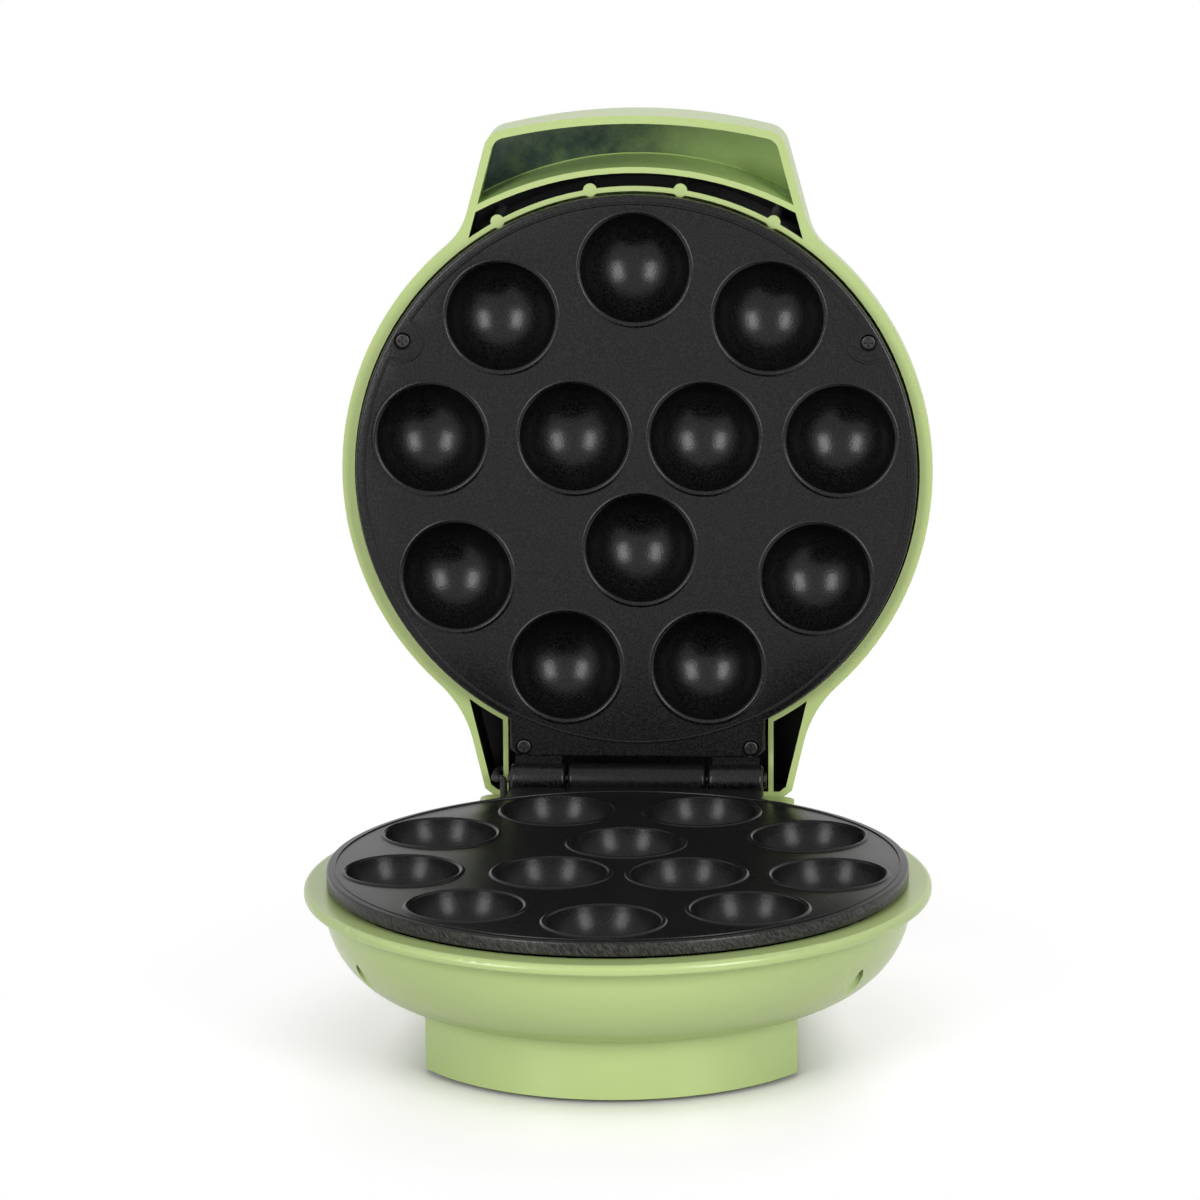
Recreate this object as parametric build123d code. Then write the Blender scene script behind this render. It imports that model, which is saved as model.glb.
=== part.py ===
from build123d import *
from math import asin, atan2, cos, degrees, hypot, radians, sin, sqrt, tan
import os

# Takoyaki maker with a hinged lid, in millimetres.
# The frame's origin is on the counter, under the middle of the whole as it stands open.
# +Z is up, +X is to the right seen from the front, and +Y points back to the hinge.
# Pieces are modelled about the plates' centre, with the lid shut, and are placed at the end.

# Heights, from the counter to the face of the lower plate
foot_proud = 1.5
pedestal_height = 19.4
bowl_depth = 36.1
plate_stand = 6.0
face_height = foot_proud + pedestal_height + bowl_depth + plate_stand

# Cooking plates, both cast to one pattern
plate_radius = 99.5
plate_floor = 3.0
skirt_height = 5.0
skirt_wall = 2.5
plate_edge_round = 1.0
bead_inset = 2.9
bead_height = 0.8
pad_radius = 7.2
closed_gap = 2.0

# Wells: a ring of nine round a ring of three
well_mouth_radius = 19.25
well_depth = 17.5
well_wall = 2.2
well_rim_width = 2.0
well_rim_height = 0.8
outer_well_count = 9
outer_well_ring = 73.6
inner_well_count = 3
inner_well_ring = 26.64
inner_well_shift = 1.3

# Hinge
hinge_overhang = 10.5
knuckle_radius = 5.6
knuckle_gap = 1.0
centre_knuckle_length = 49.0
barrel_length = 90.0
knuckle_end_round = 1.4
tab_side = 0.5
tab_gap = 2.0
tab_corner = 3.0
pin_radius = 1.6
pin_clearance = 0.05
pin_head_radius = 2.8
pin_head_thickness = 0.9
clip_radius = 3.2
clip_thickness = 0.6
clip_groove_depth = 0.5
end_play = 0.15
open_angle = 92.4

# Screws
screw_shank_radius = 1.5
screw_head_radius = 2.6
screw_head_height = 1.9
screw_clearance = 0.1
head_clearance = 0.5
cross_width = 0.8
cross_depth = 1.1
bite_length = 8.0

# Where the plates are screwed down
side_screw_inset = 4.53
side_screw_angle = -29.94
tab_screw_inset = 5.0
tab_screw_back = 11.2
side_boss_depth = 14.0
side_boss_radius = 4.2
tab_boss_height = 1.0
tab_boss_radius = 3.4
head_sink = 2.4

# Base housing
housing_wall = 2.4
bowl_corner = 30.5
flange_reach = 7.0
flange_thickness = 3.8
flange_top_round = 1.8
flange_bottom_round = 1.2
flange_cove = 1.0
pedestal_radius = 75.0
pedestal_half_width = 63.0
pedestal_back_half = 55.5
pedestal_back = 88.0
pedestal_back_corner = 30.0
shelf_side = 10.5
shelf_overhang = 4.2
shelf_depth = 17.0
shelf_corner = 5.0
shelf_bottom_round = 4.5
recess_wall = 1.8
stop_width = 15.0
stop_centre = 28.0
stop_height = 8.0
stop_clearance = 0.3

# Bottom cover and feet
cover_thickness = 3.0
cover_recess = 0.5
cover_clearance = 0.3
cover_post_radius = 4.2
cover_post_x = 46.0
cover_post_front = -26.0
cover_post_back = 46.0
foot_radius = 7.0
foot_stem_radius = 2.5
foot_stem_clearance = 0.1
foot_barb_radius = 3.2
foot_barb_height = 1.2
foot_x = 45.0
foot_front = -45.0
foot_back = 67.0
vent_count = 5
vent_length = 34.0
vent_width = 3.0
vent_pitch = 8.0

# Heating element, its clamps and its heat reflector
element_radius = 3.25
element_ring = 50.75
element_depth = 10.0
element_end_angle = 14.0
element_bend = 7.0
element_leg = 11.0
element_pin_radius = 1.2
element_pin_length = 5.0
seat_clearance = 0.15
rail_half_width = 3.6
rail_height = 5.2
clamp_angles = (50.0, 170.0, 290.0)
clamp_reach = 61.5
clamp_width = 6.0
strip_thickness = 0.8
fixing_boss_radius = 3.2
reflector_inset = 13.5
reflector_depth = 25.0
reflector_rise = 8.0
reflector_thickness = 0.8
reflector_screw_inset = 10.0
reflector_screw_angles = (30.0, 150.0, 270.0)
reflector_post_radius = 3.6
reflector_hole_clearance = 1.5

# Thermostats and thermal fuse
thermostat_radius = 8.0
thermostat_height = 8.0
thermostat_ring = 35.0
thermostat_angle = 270.0
thermostat_boss_ring = 19.5
blade_length = 5.0
blade_width = 4.0
blade_thickness = 0.8
fuse_radius = 2.2
fuse_length = 18.0
fuse_ring = 36.0
fuse_angle = 150.0
fuse_boss_ring = 27.0
contact_clearance = 0.1
strap_width = 6.0
strap_tail = 4.5

# Wiring
lead_radius = 0.55
lead_offset = 0.65
lead_bend = 1.5
sleeve_radius = 1.3
sleeve_bend = 1.4
sleeve_clearance = 0.1
sleeve_gap = 0.3
block_length = 34.0
block_width = 18.0
block_height = 9.0
block_y = 24.0
block_pole_count = 4
block_pole_pitch = 8.0
wire_hole_radius = 11.0
wire_hole_y = 52.0
gland_height = 10.5
gland_bore_radius = 3.4
gland_neck_radius = 4.6
gland_flange_radius = 6.6
gland_flange_thickness = 2.2
gland_clearance = 0.1

# Lid housing
lid_rim_depth = 5.5
lid_height = 46.0
lid_corner = 32.0
lid_crown = 700.0
lid_wall = 2.7
plate_clearance = 0.8
rim_wall = 1.8
handle_overhang = 22.2
handle_front_arc = 215.0
handle_half_end = 53.0
handle_half_root = 60.5
handle_end_out = 12.2
handle_root_in = 15.8
handle_corner = 8.0
handle_wall = 2.9
handle_blend = 25.0
handle_height = 38.0
pillow_radius = 230.0
handle_pillow_in = 24.8
top_edge_round = 5.0
grip_wall_radius = 121.9
grip_wall_out = 2.95
grip_wall_thickness = 2.1
grip_wall_draft = 3.0
ear_overhang = 8.0
ear_side_end = 8.7
ear_side_root = 14.0
ear_root_in = 14.0
ear_corner = 3.0
ear_wall = 2.4
ear_blend = 40.0
ear_height = 39.0
ear_pillow_in = 15.0
ear_rib_thickness = 1.8
ear_rib_places = (-25.0, 0.0, 25.0)
ear_rib_back = 2.2
rim_boss_radius = 2.4
rim_boss_out = 1.5
rim_boss_angles = (9.0, 28.6)

# Lamps in the lid's top
lamp_x = 20.0
lamp_y = 62.0
lens_radius = 4.0
lens_clearance = 0.15
lens_proud = 1.2
lens_flange_radius = 5.6
lens_flange_thickness = 1.2
lens_seat_gap = 0.6
lamp_radius = 3.0
lamp_length = 6.5

# Sizes that follow from those above
bowl_radius = plate_radius + plate_clearance
rim_inner = plate_radius + plate_clearance
lid_radius = rim_inner + rim_wall + lid_wall
hinge_reach = plate_radius + hinge_overhang
tab_half_width = barrel_length / 2 + tab_side
side_screw_x = (plate_radius - side_screw_inset) * cos(radians(side_screw_angle))
side_screw_y = (plate_radius - side_screw_inset) * sin(radians(side_screw_angle))
tab_screw_x = tab_half_width - tab_screw_inset
tab_screw_y = hinge_reach - tab_screw_back
shelf_half_width = tab_half_width + shelf_side
reflector_radius = plate_radius - reflector_inset
reflector_screw_ring = reflector_radius - reflector_screw_inset
handle_reach = lid_radius + handle_overhang
handle_end_y = -lid_radius - handle_end_out
handle_root_y = -lid_radius + handle_root_in
handle_pillow_y = -lid_radius + handle_pillow_in
grip_wall_front = lid_radius + grip_wall_out
rim_boss_ring = rim_inner + rim_boss_out
ear_end = hinge_reach + ear_overhang
ear_half_end = tab_half_width + ear_side_end
ear_half_root = tab_half_width + ear_side_root
ear_root_y = hinge_reach - ear_root_in
ear_pillow_y = hinge_reach - ear_pillow_in

# Heights and places that follow from those, measured from the lower plate's face
flange_top = -plate_stand
bowl_bottom = flange_top - bowl_depth
pedestal_bottom = bowl_bottom - pedestal_height
bowl_floor = bowl_bottom + housing_wall
flange_radius = bowl_radius + flange_reach
axis_height = closed_gap / 2
tab_end = hinge_reach - knuckle_radius - tab_gap
tab_boss_bottom = -skirt_height - tab_boss_height
side_boss_bottom = -side_boss_depth
bead_radius = plate_radius - bead_inset
well_centre_height = (well_mouth_radius**2 + well_depth**2) / (2 * well_depth) - well_depth
well_radius = well_depth + well_centre_height
channel_half_width = tab_half_width + plate_clearance + 0.2
cover_top = pedestal_bottom + cover_recess + cover_thickness
hinge_axis = Axis((0, hinge_reach, face_height + axis_height), (1, 0, 0))
pilot_radius = screw_shank_radius + screw_clearance
UP = (0, 0, 1)


def rod(radius, low, high, x=0.0, y=0.0):
    """Upright round bar between two heights."""
    return Pos(x, y, (low + high) / 2) * Cylinder(radius, high - low)


def cross_rod(radius, left, right, y, z):
    """Round bar along X."""
    return Pos((left + right) / 2, y, z) * Rot(0, 90, 0) * Cylinder(radius, right - left)


def slab(x0, x1, y0, y1, z0, z1):
    """Square-edged block between two corners."""
    return Pos((x0 + x1) / 2, (y0 + y1) / 2, (z0 + z1) / 2) * Box(x1 - x0, y1 - y0, z1 - z0)


def raised(plan, low, high):
    """Plan outline raised between two heights."""
    return Pos(0, 0, low) * extrude(plan, high - low, dir=UP)


def turned(edges):
    """Solid of revolution about Z from a closed outline in X and Z."""
    return revolve(Plane.XZ * make_face(edges), Axis.Z)


def polar(ring, angle, shift=0.0):
    """Place on a ring round the centre, which may be shifted along X."""
    return shift + ring * cos(radians(angle)), ring * sin(radians(angle))


def both_sides(x, y):
    return [(x, y), (-x, y)]


def pillow(centre_y, height, radius, seam_side):
    """Ball whose crown is the domed top of a handle or an ear."""
    return Pos(0, centre_y, height - radius) * Rot(0, 0, 90 * seam_side) * Sphere(radius)


def pan_screw(x, y, seat, length, head_up=True):
    """Cross-head screw: seat is the height where the underside of its head rests."""
    side = 1 if head_up else -1
    head_end = seat + side * screw_head_height
    shank_end = seat - side * length
    head = rod(screw_head_radius, min(seat, head_end), max(seat, head_end), x, y)
    rim = head.edges().filter_by(GeomType.CIRCLE).sort_by(Axis.Z)
    head = fillet([rim[-1 if head_up else 0]], screw_head_height / 3)
    slot_z = head_end - side * cross_depth / 2
    slot_length = screw_head_radius * 1.3
    for angle in (0, 90):
        slot = Box(slot_length, cross_width, cross_depth)
        head -= Pos(x, y, slot_z) * Rot(0, 0, angle) * slot
    shank = rod(screw_shank_radius, min(seat, shank_end), max(seat, shank_end), x, y)
    return head + shank


# Wells and plates

def outer_wells():
    step = 360 / outer_well_count
    return [polar(outer_well_ring, -90 + step * i) for i in range(outer_well_count)]


def inner_wells():
    step = 360 / inner_well_count
    return [polar(inner_well_ring, 90 + step * i, inner_well_shift) for i in range(inner_well_count)]


def well_cup():
    """One well: a round cup with a raised bead at its mouth."""
    collar = well_mouth_radius + well_rim_width
    outer = well_radius + well_wall
    start = -sqrt(outer**2 - collar**2) + well_centre_height if outer > collar else well_centre_height
    floor_low = min(-plate_floor, start)
    neck = sqrt(outer**2 - (well_centre_height - floor_low)**2)
    inner_angle = degrees(asin(well_centre_height / well_radius))
    outer_angle = degrees(asin((well_centre_height - floor_low) / outer))
    centre = (0, well_centre_height)
    bead_top = (well_mouth_radius + well_rim_width / 2, well_rim_height)
    outline = [
        CenterArc(centre, well_radius, -90, 90 - inner_angle),
        ThreePointArc((well_mouth_radius, 0), bead_top, (collar, 0)),
        Line((collar, 0), (collar, floor_low)),
        Line((collar, floor_low), (neck, floor_low)),
        CenterArc(centre, outer, -90, 90 - outer_angle),
        Line((0, -well_depth - well_wall), (0, -well_depth)),
    ]
    return turned(outline)


def side_screw_places():
    return both_sides(side_screw_x, side_screw_y)


def tab_screw_places():
    return both_sides(tab_screw_x, tab_screw_y)


def plate_casting():
    """What both plates share, face up at height 0 with the hinge tab towards +Y."""
    disc = rod(plate_radius, -skirt_height, 0)
    disc = fillet(disc.edges().filter_by(GeomType.CIRCLE).sort_by(Axis.Z)[-1:], plate_edge_round)
    tab = slab(-tab_half_width, tab_half_width, bead_radius / 2, tab_end, -skirt_height, 0)
    corners = tab.edges().filter_by(Axis.Z).sort_by(Axis.Y)[-2:]
    tab = chamfer(corners, tab_corner)
    plate = disc + tab
    plate -= rod(plate_radius - skirt_wall, -skirt_height, -plate_floor)
    plate += element_rail()
    inside_bowl = rod(bowl_radius - housing_wall - plate_clearance / 2, side_boss_bottom, 0)
    for x, y in side_screw_places():
        plate += rod(side_boss_radius, side_boss_bottom, -plate_floor, x, y) & inside_bowl
    for x, y in tab_screw_places():
        plate += rod(tab_boss_radius, tab_boss_bottom, -skirt_height, x, y)
    collar = well_mouth_radius + well_rim_width
    cup = well_cup()
    for x, y in outer_wells() + inner_wells():
        plate -= rod(collar, -skirt_height, plate_floor, x, y)
        plate += Pos(x, y, 0) * cup
    for x, y, low in fixing_bosses():
        plate += rod(fixing_boss_radius, low, -plate_floor, x, y)
    for x, y, low in fixing_bosses():
        plate -= rod(pilot_radius, low, -plate_floor, x, y)
    return plate


def element_rail():
    """Ridge under the plate with a round groove that the element lies in."""
    low = -plate_floor - rail_height
    inner = element_ring - rail_half_width
    outer = element_ring + rail_half_width
    ridge = rod(outer, low, -plate_floor) - rod(inner, low, -plate_floor)
    groove = Pos(0, 0, -element_depth) * Torus(element_ring, element_radius + seat_clearance)
    return ridge - groove


def clamp_strip_top():
    return -element_depth


def thermostat_bottom():
    return -plate_floor - thermostat_height


def fuse_bottom():
    return -plate_floor - 2 * fuse_radius - 2 * contact_clearance


def fixing_bosses():
    """Small bosses under the plate: x, y and the height of each one's end."""
    places = [(*polar(clamp_reach, angle), clamp_strip_top()) for angle in clamp_angles]
    places.append((*polar(thermostat_boss_ring, thermostat_angle, inner_well_shift), thermostat_bottom()))
    places.append((*polar(fuse_boss_ring, fuse_angle, inner_well_shift), fuse_bottom()))
    return places


def bead_ring():
    """Raised bead near the plate's edge."""
    return Torus(bead_radius, bead_height)


def knuckle(left, right):
    """Length of hinge barrel with the neck that joins it to the tab."""
    barrel = cross_rod(knuckle_radius, left, right, hinge_reach, axis_height)
    neck_low = axis_height - knuckle_radius
    neck = slab(left, right, tab_end - tab_corner, hinge_reach, neck_low, 0)
    return barrel + neck


def pin_bore():
    reach = barrel_length / 2
    return cross_rod(pin_radius + pin_clearance, -reach - 1, reach + 1, hinge_reach, axis_height)


def lower_plate():
    half = centre_knuckle_length / 2
    plate = plate_casting() + bead_ring() + knuckle(-half, half)
    for x, y in side_screw_places():
        plate -= rod(pilot_radius, side_boss_bottom, side_boss_bottom + bite_length + 1, x, y)
    for x, y in tab_screw_places():
        plate -= rod(pilot_radius, tab_boss_bottom, -plate_floor / 2, x, y)
    return plate - pin_bore()


def upper_plate():
    """Plate of the lid, face up: it is turned over when it is placed."""
    inner = centre_knuckle_length / 2 + knuckle_gap
    outer = barrel_length / 2
    bead = bead_ring()
    inside = rod(bead_radius, -bead_height, bead_height)
    for x, y in side_screw_places():
        bead -= rod(pad_radius, -bead_height, bead_height, x, y)
    plate = plate_casting() + bead
    for x, y in side_screw_places():
        plate += (Pos(x, y, 0) * Torus(pad_radius, bead_height)) & inside
    plate += knuckle(inner, outer) + knuckle(-outer, -inner)
    for x, y in side_screw_places():
        plate -= rod(pilot_radius, side_boss_bottom, 0, x, y)
        plate -= rod(screw_head_radius + head_clearance, -head_sink, bead_height, x, y)
    for x, y in tab_screw_places():
        plate -= rod(pilot_radius, tab_boss_bottom, 0, x, y)
        plate -= rod(screw_head_radius + head_clearance, -head_sink, bead_height, x, y)
    return plate - pin_bore()


def upper_plate_screws():
    length = side_boss_depth - head_sink + bite_length
    screws = [pan_screw(x, y, -head_sink, length) for x, y in side_screw_places()]
    length = -tab_boss_bottom - head_sink + bite_length
    screws += [pan_screw(x, y, -head_sink, length) for x, y in tab_screw_places()]
    return Compound(children=screws)


def lower_plate_screws():
    """Driven from below: two up the bowl's recesses and two up through the hinge shelf."""
    seat = side_boss_bottom - housing_wall
    length = housing_wall + bite_length
    screws = [pan_screw(x, y, seat, length, False) for x, y in side_screw_places()]
    seat = tab_boss_bottom - housing_wall
    length = -seat - plate_floor
    screws += [pan_screw(x, y, seat, length, False) for x, y in tab_screw_places()]
    return Compound(children=screws)


def pin_tail():
    """How far the pin's grooved end reaches to the left."""
    return barrel_length / 2 + clip_thickness + 2 * end_play + clip_groove_depth / 2


def hinge_pin():
    """Steel pin with a head on the right and a groove for its clip on the left."""
    reach = barrel_length / 2 + end_play
    tail = pin_tail()
    shaft = cross_rod(pin_radius, -tail, reach, hinge_reach, axis_height)
    head = cross_rod(pin_head_radius, reach, reach + pin_head_thickness, hinge_reach, axis_height)
    groove_left = -reach - clip_thickness - end_play
    groove = cross_rod(pin_radius, groove_left, -reach, hinge_reach, axis_height)
    groove -= cross_rod(pin_radius - clip_groove_depth, groove_left, -reach, hinge_reach, axis_height)
    return shaft + head - groove


def hinge_pin_clip():
    """Spring clip pushed onto the groove from above."""
    reach = barrel_length / 2 + end_play
    left = -reach - clip_thickness
    inner = pin_radius - clip_groove_depth + end_play / 3
    ring = cross_rod(clip_radius, left, -reach, hinge_reach, axis_height)
    ring -= cross_rod(inner, left, -reach, hinge_reach, axis_height)
    mouth = inner * 0.8
    return ring - slab(left, -reach, hinge_reach - mouth, hinge_reach + mouth, axis_height, axis_height + 2 * clip_radius)


# Heating element, reflector and controls, shared by both plates

def heating_element():
    """Round tube in an open ring whose two ends turn down."""
    plane_z = -element_depth
    start = radians(90 + element_end_angle)
    end = radians(90 - element_end_angle)

    def end_turn(angle, side):
        x = element_ring * cos(angle)
        y = element_ring * sin(angle)
        tx = side * sin(angle)
        ty = -side * cos(angle)
        half = element_bend * sin(radians(45))
        drop = element_bend - half
        top = Vector(x, y, plane_z)
        middle = Vector(x + tx * half, y + ty * half, plane_z - drop)
        low = Vector(x + tx * element_bend, y + ty * element_bend, plane_z - element_bend)
        return top, middle, low

    top_a, middle_a, low_a = end_turn(start, 1)
    top_b, middle_b, low_b = end_turn(end, -1)
    leg = Vector(0, 0, -element_leg)
    far = Vector(0, -element_ring, plane_z)
    path = Wire([
        Edge.make_line(low_a + leg, low_a),
        Edge.make_three_point_arc(low_a, middle_a, top_a),
        Edge.make_three_point_arc(top_a, far, top_b),
        Edge.make_three_point_arc(top_b, middle_b, low_b),
        Edge.make_line(low_b, low_b + leg),
    ])
    section = Plane(origin=low_a + leg, z_dir=UP) * Circle(element_radius)
    element = sweep(section, path=path)
    for low in (low_a, low_b):
        foot = low.Z - element_leg
        element += rod(element_pin_radius, foot - element_pin_length, foot, low.X, low.Y)
    return element


def element_end_places():
    """Centres of the element's two legs."""
    angle = radians(90 + element_end_angle)
    x = element_ring * cos(angle) + element_bend * sin(angle)
    y = element_ring * sin(angle) - element_bend * cos(angle)
    return both_sides(x, y)


def element_clamps():
    """Saddles of steel strip that hold the element in its rail."""
    inner = element_radius + seat_clearance
    outer = inner + strip_thickness
    top = clamp_strip_top()
    clamps = []
    for angle in clamp_angles:
        saddle = Rot(90, 0, 0) * (Cylinder(outer, clamp_width) - Cylinder(inner, clamp_width))
        saddle = Pos(element_ring, 0, top) * saddle
        saddle &= slab(0, 2 * element_ring, -clamp_width, clamp_width, top - 2 * outer, top)
        half = clamp_width / 2
        foot = slab(element_ring + inner, clamp_reach + half, -half, half, top - strip_thickness, top)
        clamp = saddle + foot - rod(pilot_radius, top - strip_thickness, top, clamp_reach, 0)
        clamps.append(Rot(0, 0, angle) * clamp)
    return Compound(children=clamps)


def clamp_screws():
    seat = clamp_strip_top() - strip_thickness
    return Compound(children=[
        pan_screw(*polar(clamp_reach, angle), seat, bite_length * 0.7, False) for angle in clamp_angles
    ])


def reflector():
    """Shallow bright dish under the wells that throws the heat back."""
    top = -reflector_depth
    dish = rod(reflector_radius, top - reflector_thickness, top + reflector_rise)
    dish -= rod(reflector_radius - reflector_thickness, top, top + reflector_rise)
    for x, y in element_end_places():
        dish -= rod(element_radius + reflector_hole_clearance, top - reflector_thickness, top, x, y)
    for angle in reflector_screw_angles:
        x, y = polar(reflector_screw_ring, angle)
        dish -= rod(pilot_radius, top - reflector_thickness, top, x, y)
    for side in (-1, 1):
        x, y, _ = blade_place(side)
        dish -= rod(2 * lead_radius, top - reflector_thickness, top, x, y)
    return dish


def reflector_screws():
    return Compound(children=[
        pan_screw(*polar(reflector_screw_ring, angle), -reflector_depth, bite_length * 0.8)
        for angle in reflector_screw_angles
    ])


def thermostat():
    """Disc thermostat with a blade on each side, held flat against the plate."""
    x, y = polar(thermostat_ring, thermostat_angle, inner_well_shift)
    low = thermostat_bottom()
    top = -plate_floor
    waist = low + thermostat_height / 2
    body = rod(thermostat_radius, waist, top, x, y)
    body += rod(thermostat_radius - 1, low, waist, x, y)
    reach = thermostat_radius + blade_length
    half = blade_width / 2
    z = waist - blade_thickness
    return body + slab(x - reach, x + reach, y - half, y + half, z, z + blade_thickness)


def strap(inner, outer, angle, hole_ring, top):
    """Straight strip under a part, screwed up into a boss of the plate."""
    half = strap_width / 2
    strip = slab(inner, outer, -half, half, top - strip_thickness, top)
    strip -= rod(pilot_radius, top - strip_thickness, top, hole_ring, 0)
    return Pos(inner_well_shift, 0, 0) * Rot(0, 0, angle) * strip


def thermostat_strap():
    inner = thermostat_boss_ring - strap_tail
    outer = thermostat_ring + thermostat_radius
    return strap(inner, outer, thermostat_angle, thermostat_boss_ring, thermostat_bottom())


def thermostat_strap_screw():
    x, y = polar(thermostat_boss_ring, thermostat_angle, inner_well_shift)
    return pan_screw(x, y, thermostat_bottom() - strip_thickness, bite_length * 0.7, False)


def thermal_fuse():
    """Fuse in a round sleeve, lying across its strap under the plate."""
    x, y = polar(fuse_ring, fuse_angle, inner_well_shift)
    body = Rot(90, 0, 0) * Cylinder(fuse_radius, fuse_length)
    tail = Rot(90, 0, 0) * Cylinder(fuse_radius / 4, fuse_length * 1.5)
    z = -plate_floor - contact_clearance - fuse_radius
    return Pos(x, y, z) * Rot(0, 0, fuse_angle) * (body + tail)


def fuse_strap():
    inner = fuse_boss_ring - strap_tail
    outer = fuse_ring + 2 * fuse_radius
    return strap(inner, outer, fuse_angle, fuse_boss_ring, fuse_bottom())


def fuse_strap_screw():
    x, y = polar(fuse_boss_ring, fuse_angle, inner_well_shift)
    length = (-plate_floor - fuse_bottom()) * 0.9
    return pan_screw(x, y, fuse_bottom() - strip_thickness, length, False)


# Base housing

def bowl(inset):
    """Bowl turned about the plate's centre, filled, and drawn in by inset."""
    centre_r = bowl_radius - bowl_corner
    centre_z = bowl_bottom + bowl_corner
    corner = bowl_corner - inset
    return turned([
        Line((0, centre_z - corner), (centre_r, centre_z - corner)),
        CenterArc((centre_r, centre_z), corner, -90, 90),
        Line((centre_r + corner, centre_z), (centre_r + corner, flange_top)),
        Line((centre_r + corner, flange_top), (0, flange_top)),
        Line((0, flange_top), (0, centre_z - corner)),
    ])


def flange():
    """Rolled rim round the bowl, with a cove under it."""
    inner = bowl_radius - housing_wall
    low = flange_top - flange_thickness
    top_r = flange_top_round
    low_r = flange_bottom_round
    return turned([
        Line((inner, flange_top), (flange_radius - top_r, flange_top)),
        CenterArc((flange_radius - top_r, flange_top - top_r), top_r, 0, 90),
        Line((flange_radius, flange_top - top_r), (flange_radius, low + low_r)),
        CenterArc((flange_radius - low_r, low + low_r), low_r, -90, 90),
        Line((flange_radius - low_r, low), (bowl_radius + flange_cove, low)),
        CenterArc((bowl_radius + flange_cove, low - flange_cove), flange_cove, 90, 90),
        Line((bowl_radius, low - flange_cove), (inner, low - flange_cove)),
        Line((inner, low - flange_cove), (inner, flange_top)),
    ])


def pedestal_plan():
    """Round front between flat sides that draw in towards a square back with round corners."""
    wide, narrow = pedestal_half_width, pedestal_back_half
    front_y = -sqrt(pedestal_radius**2 - wide**2)
    back = Polygon((-wide, front_y), (wide, front_y), (narrow, pedestal_back), (-narrow, pedestal_back), align=None)
    back = fillet(back.vertices().sort_by(Axis.Y)[-2:], pedestal_back_corner)
    front = Circle(pedestal_radius) & (Pos(0, -pedestal_radius) * Rectangle(2 * wide, 2 * (pedestal_radius + front_y)))
    return front + back


def pedestal(inset, low):
    """Pedestal raised far enough to run into the bowl all round."""
    plan = pedestal_plan()
    if inset > 0:
        plan = offset(plan, amount=-inset)
    corner_r = hypot(pedestal_back_half - pedestal_back_corner, pedestal_back - pedestal_back_corner)
    reach = min(corner_r + pedestal_back_corner, bowl_radius - 0.5)
    run = max(reach - (bowl_radius - bowl_corner), 0)
    top = bowl_bottom + bowl_corner - sqrt(bowl_corner**2 - min(run, bowl_corner)**2) + housing_wall
    return raised(plan, low, top)


def shelf(inset):
    """Box behind the bowl that carries the hinge tab."""
    back = hinge_reach + shelf_overhang - inset
    half = shelf_half_width - inset
    top = flange_top - inset
    low = flange_top - shelf_depth + inset
    box = slab(-half, half, 0, back, low, top)
    corners = box.edges().filter_by(Axis.Z).sort_by(Axis.Y)[-2:]
    box = fillet(corners, shelf_corner - inset)
    under = [e for e in box.edges() if e.center().Z < low + 0.01 and e.center().Y > 0.01]
    return fillet(under, shelf_bottom_round - inset * 0.9)


def lid_end_corner():
    """Where the lower front edge of the lid's end wall comes to when the lid is open."""
    along = ear_end - hinge_reach
    deep = lid_rim_depth + closed_gap / 2
    turn = radians(open_angle)
    y = along * cos(turn) + deep * sin(turn)
    z = -along * sin(turn) + deep * cos(turn)
    return hinge_reach + y, axis_height + z


def lid_stops():
    """Two lugs on the back of the shelf that the open lid leans on."""
    corner_y, corner_z = lid_end_corner()
    back = corner_y - stop_clearance
    stops = None
    for side in (-1, 1):
        x = side * stop_centre
        half = stop_width / 2
        front = hinge_reach
        lug = slab(x - half, x + half, front, back, flange_top - stop_height, flange_top)
        stops = lug if stops is None else stops + lug
    return stops


def screw_recess(x, y):
    """Upright tube inside the bowl, open below, that a plate screw goes up."""
    inner = screw_head_radius + head_clearance
    tube = rod(inner + recess_wall, bowl_bottom, side_boss_bottom, x, y) & bowl(0)
    return tube, rod(inner, bowl_bottom - 1, side_boss_bottom - housing_wall, x, y)


def cover_post_places():
    return both_sides(cover_post_x, cover_post_front) + both_sides(cover_post_x, cover_post_back)


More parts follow.
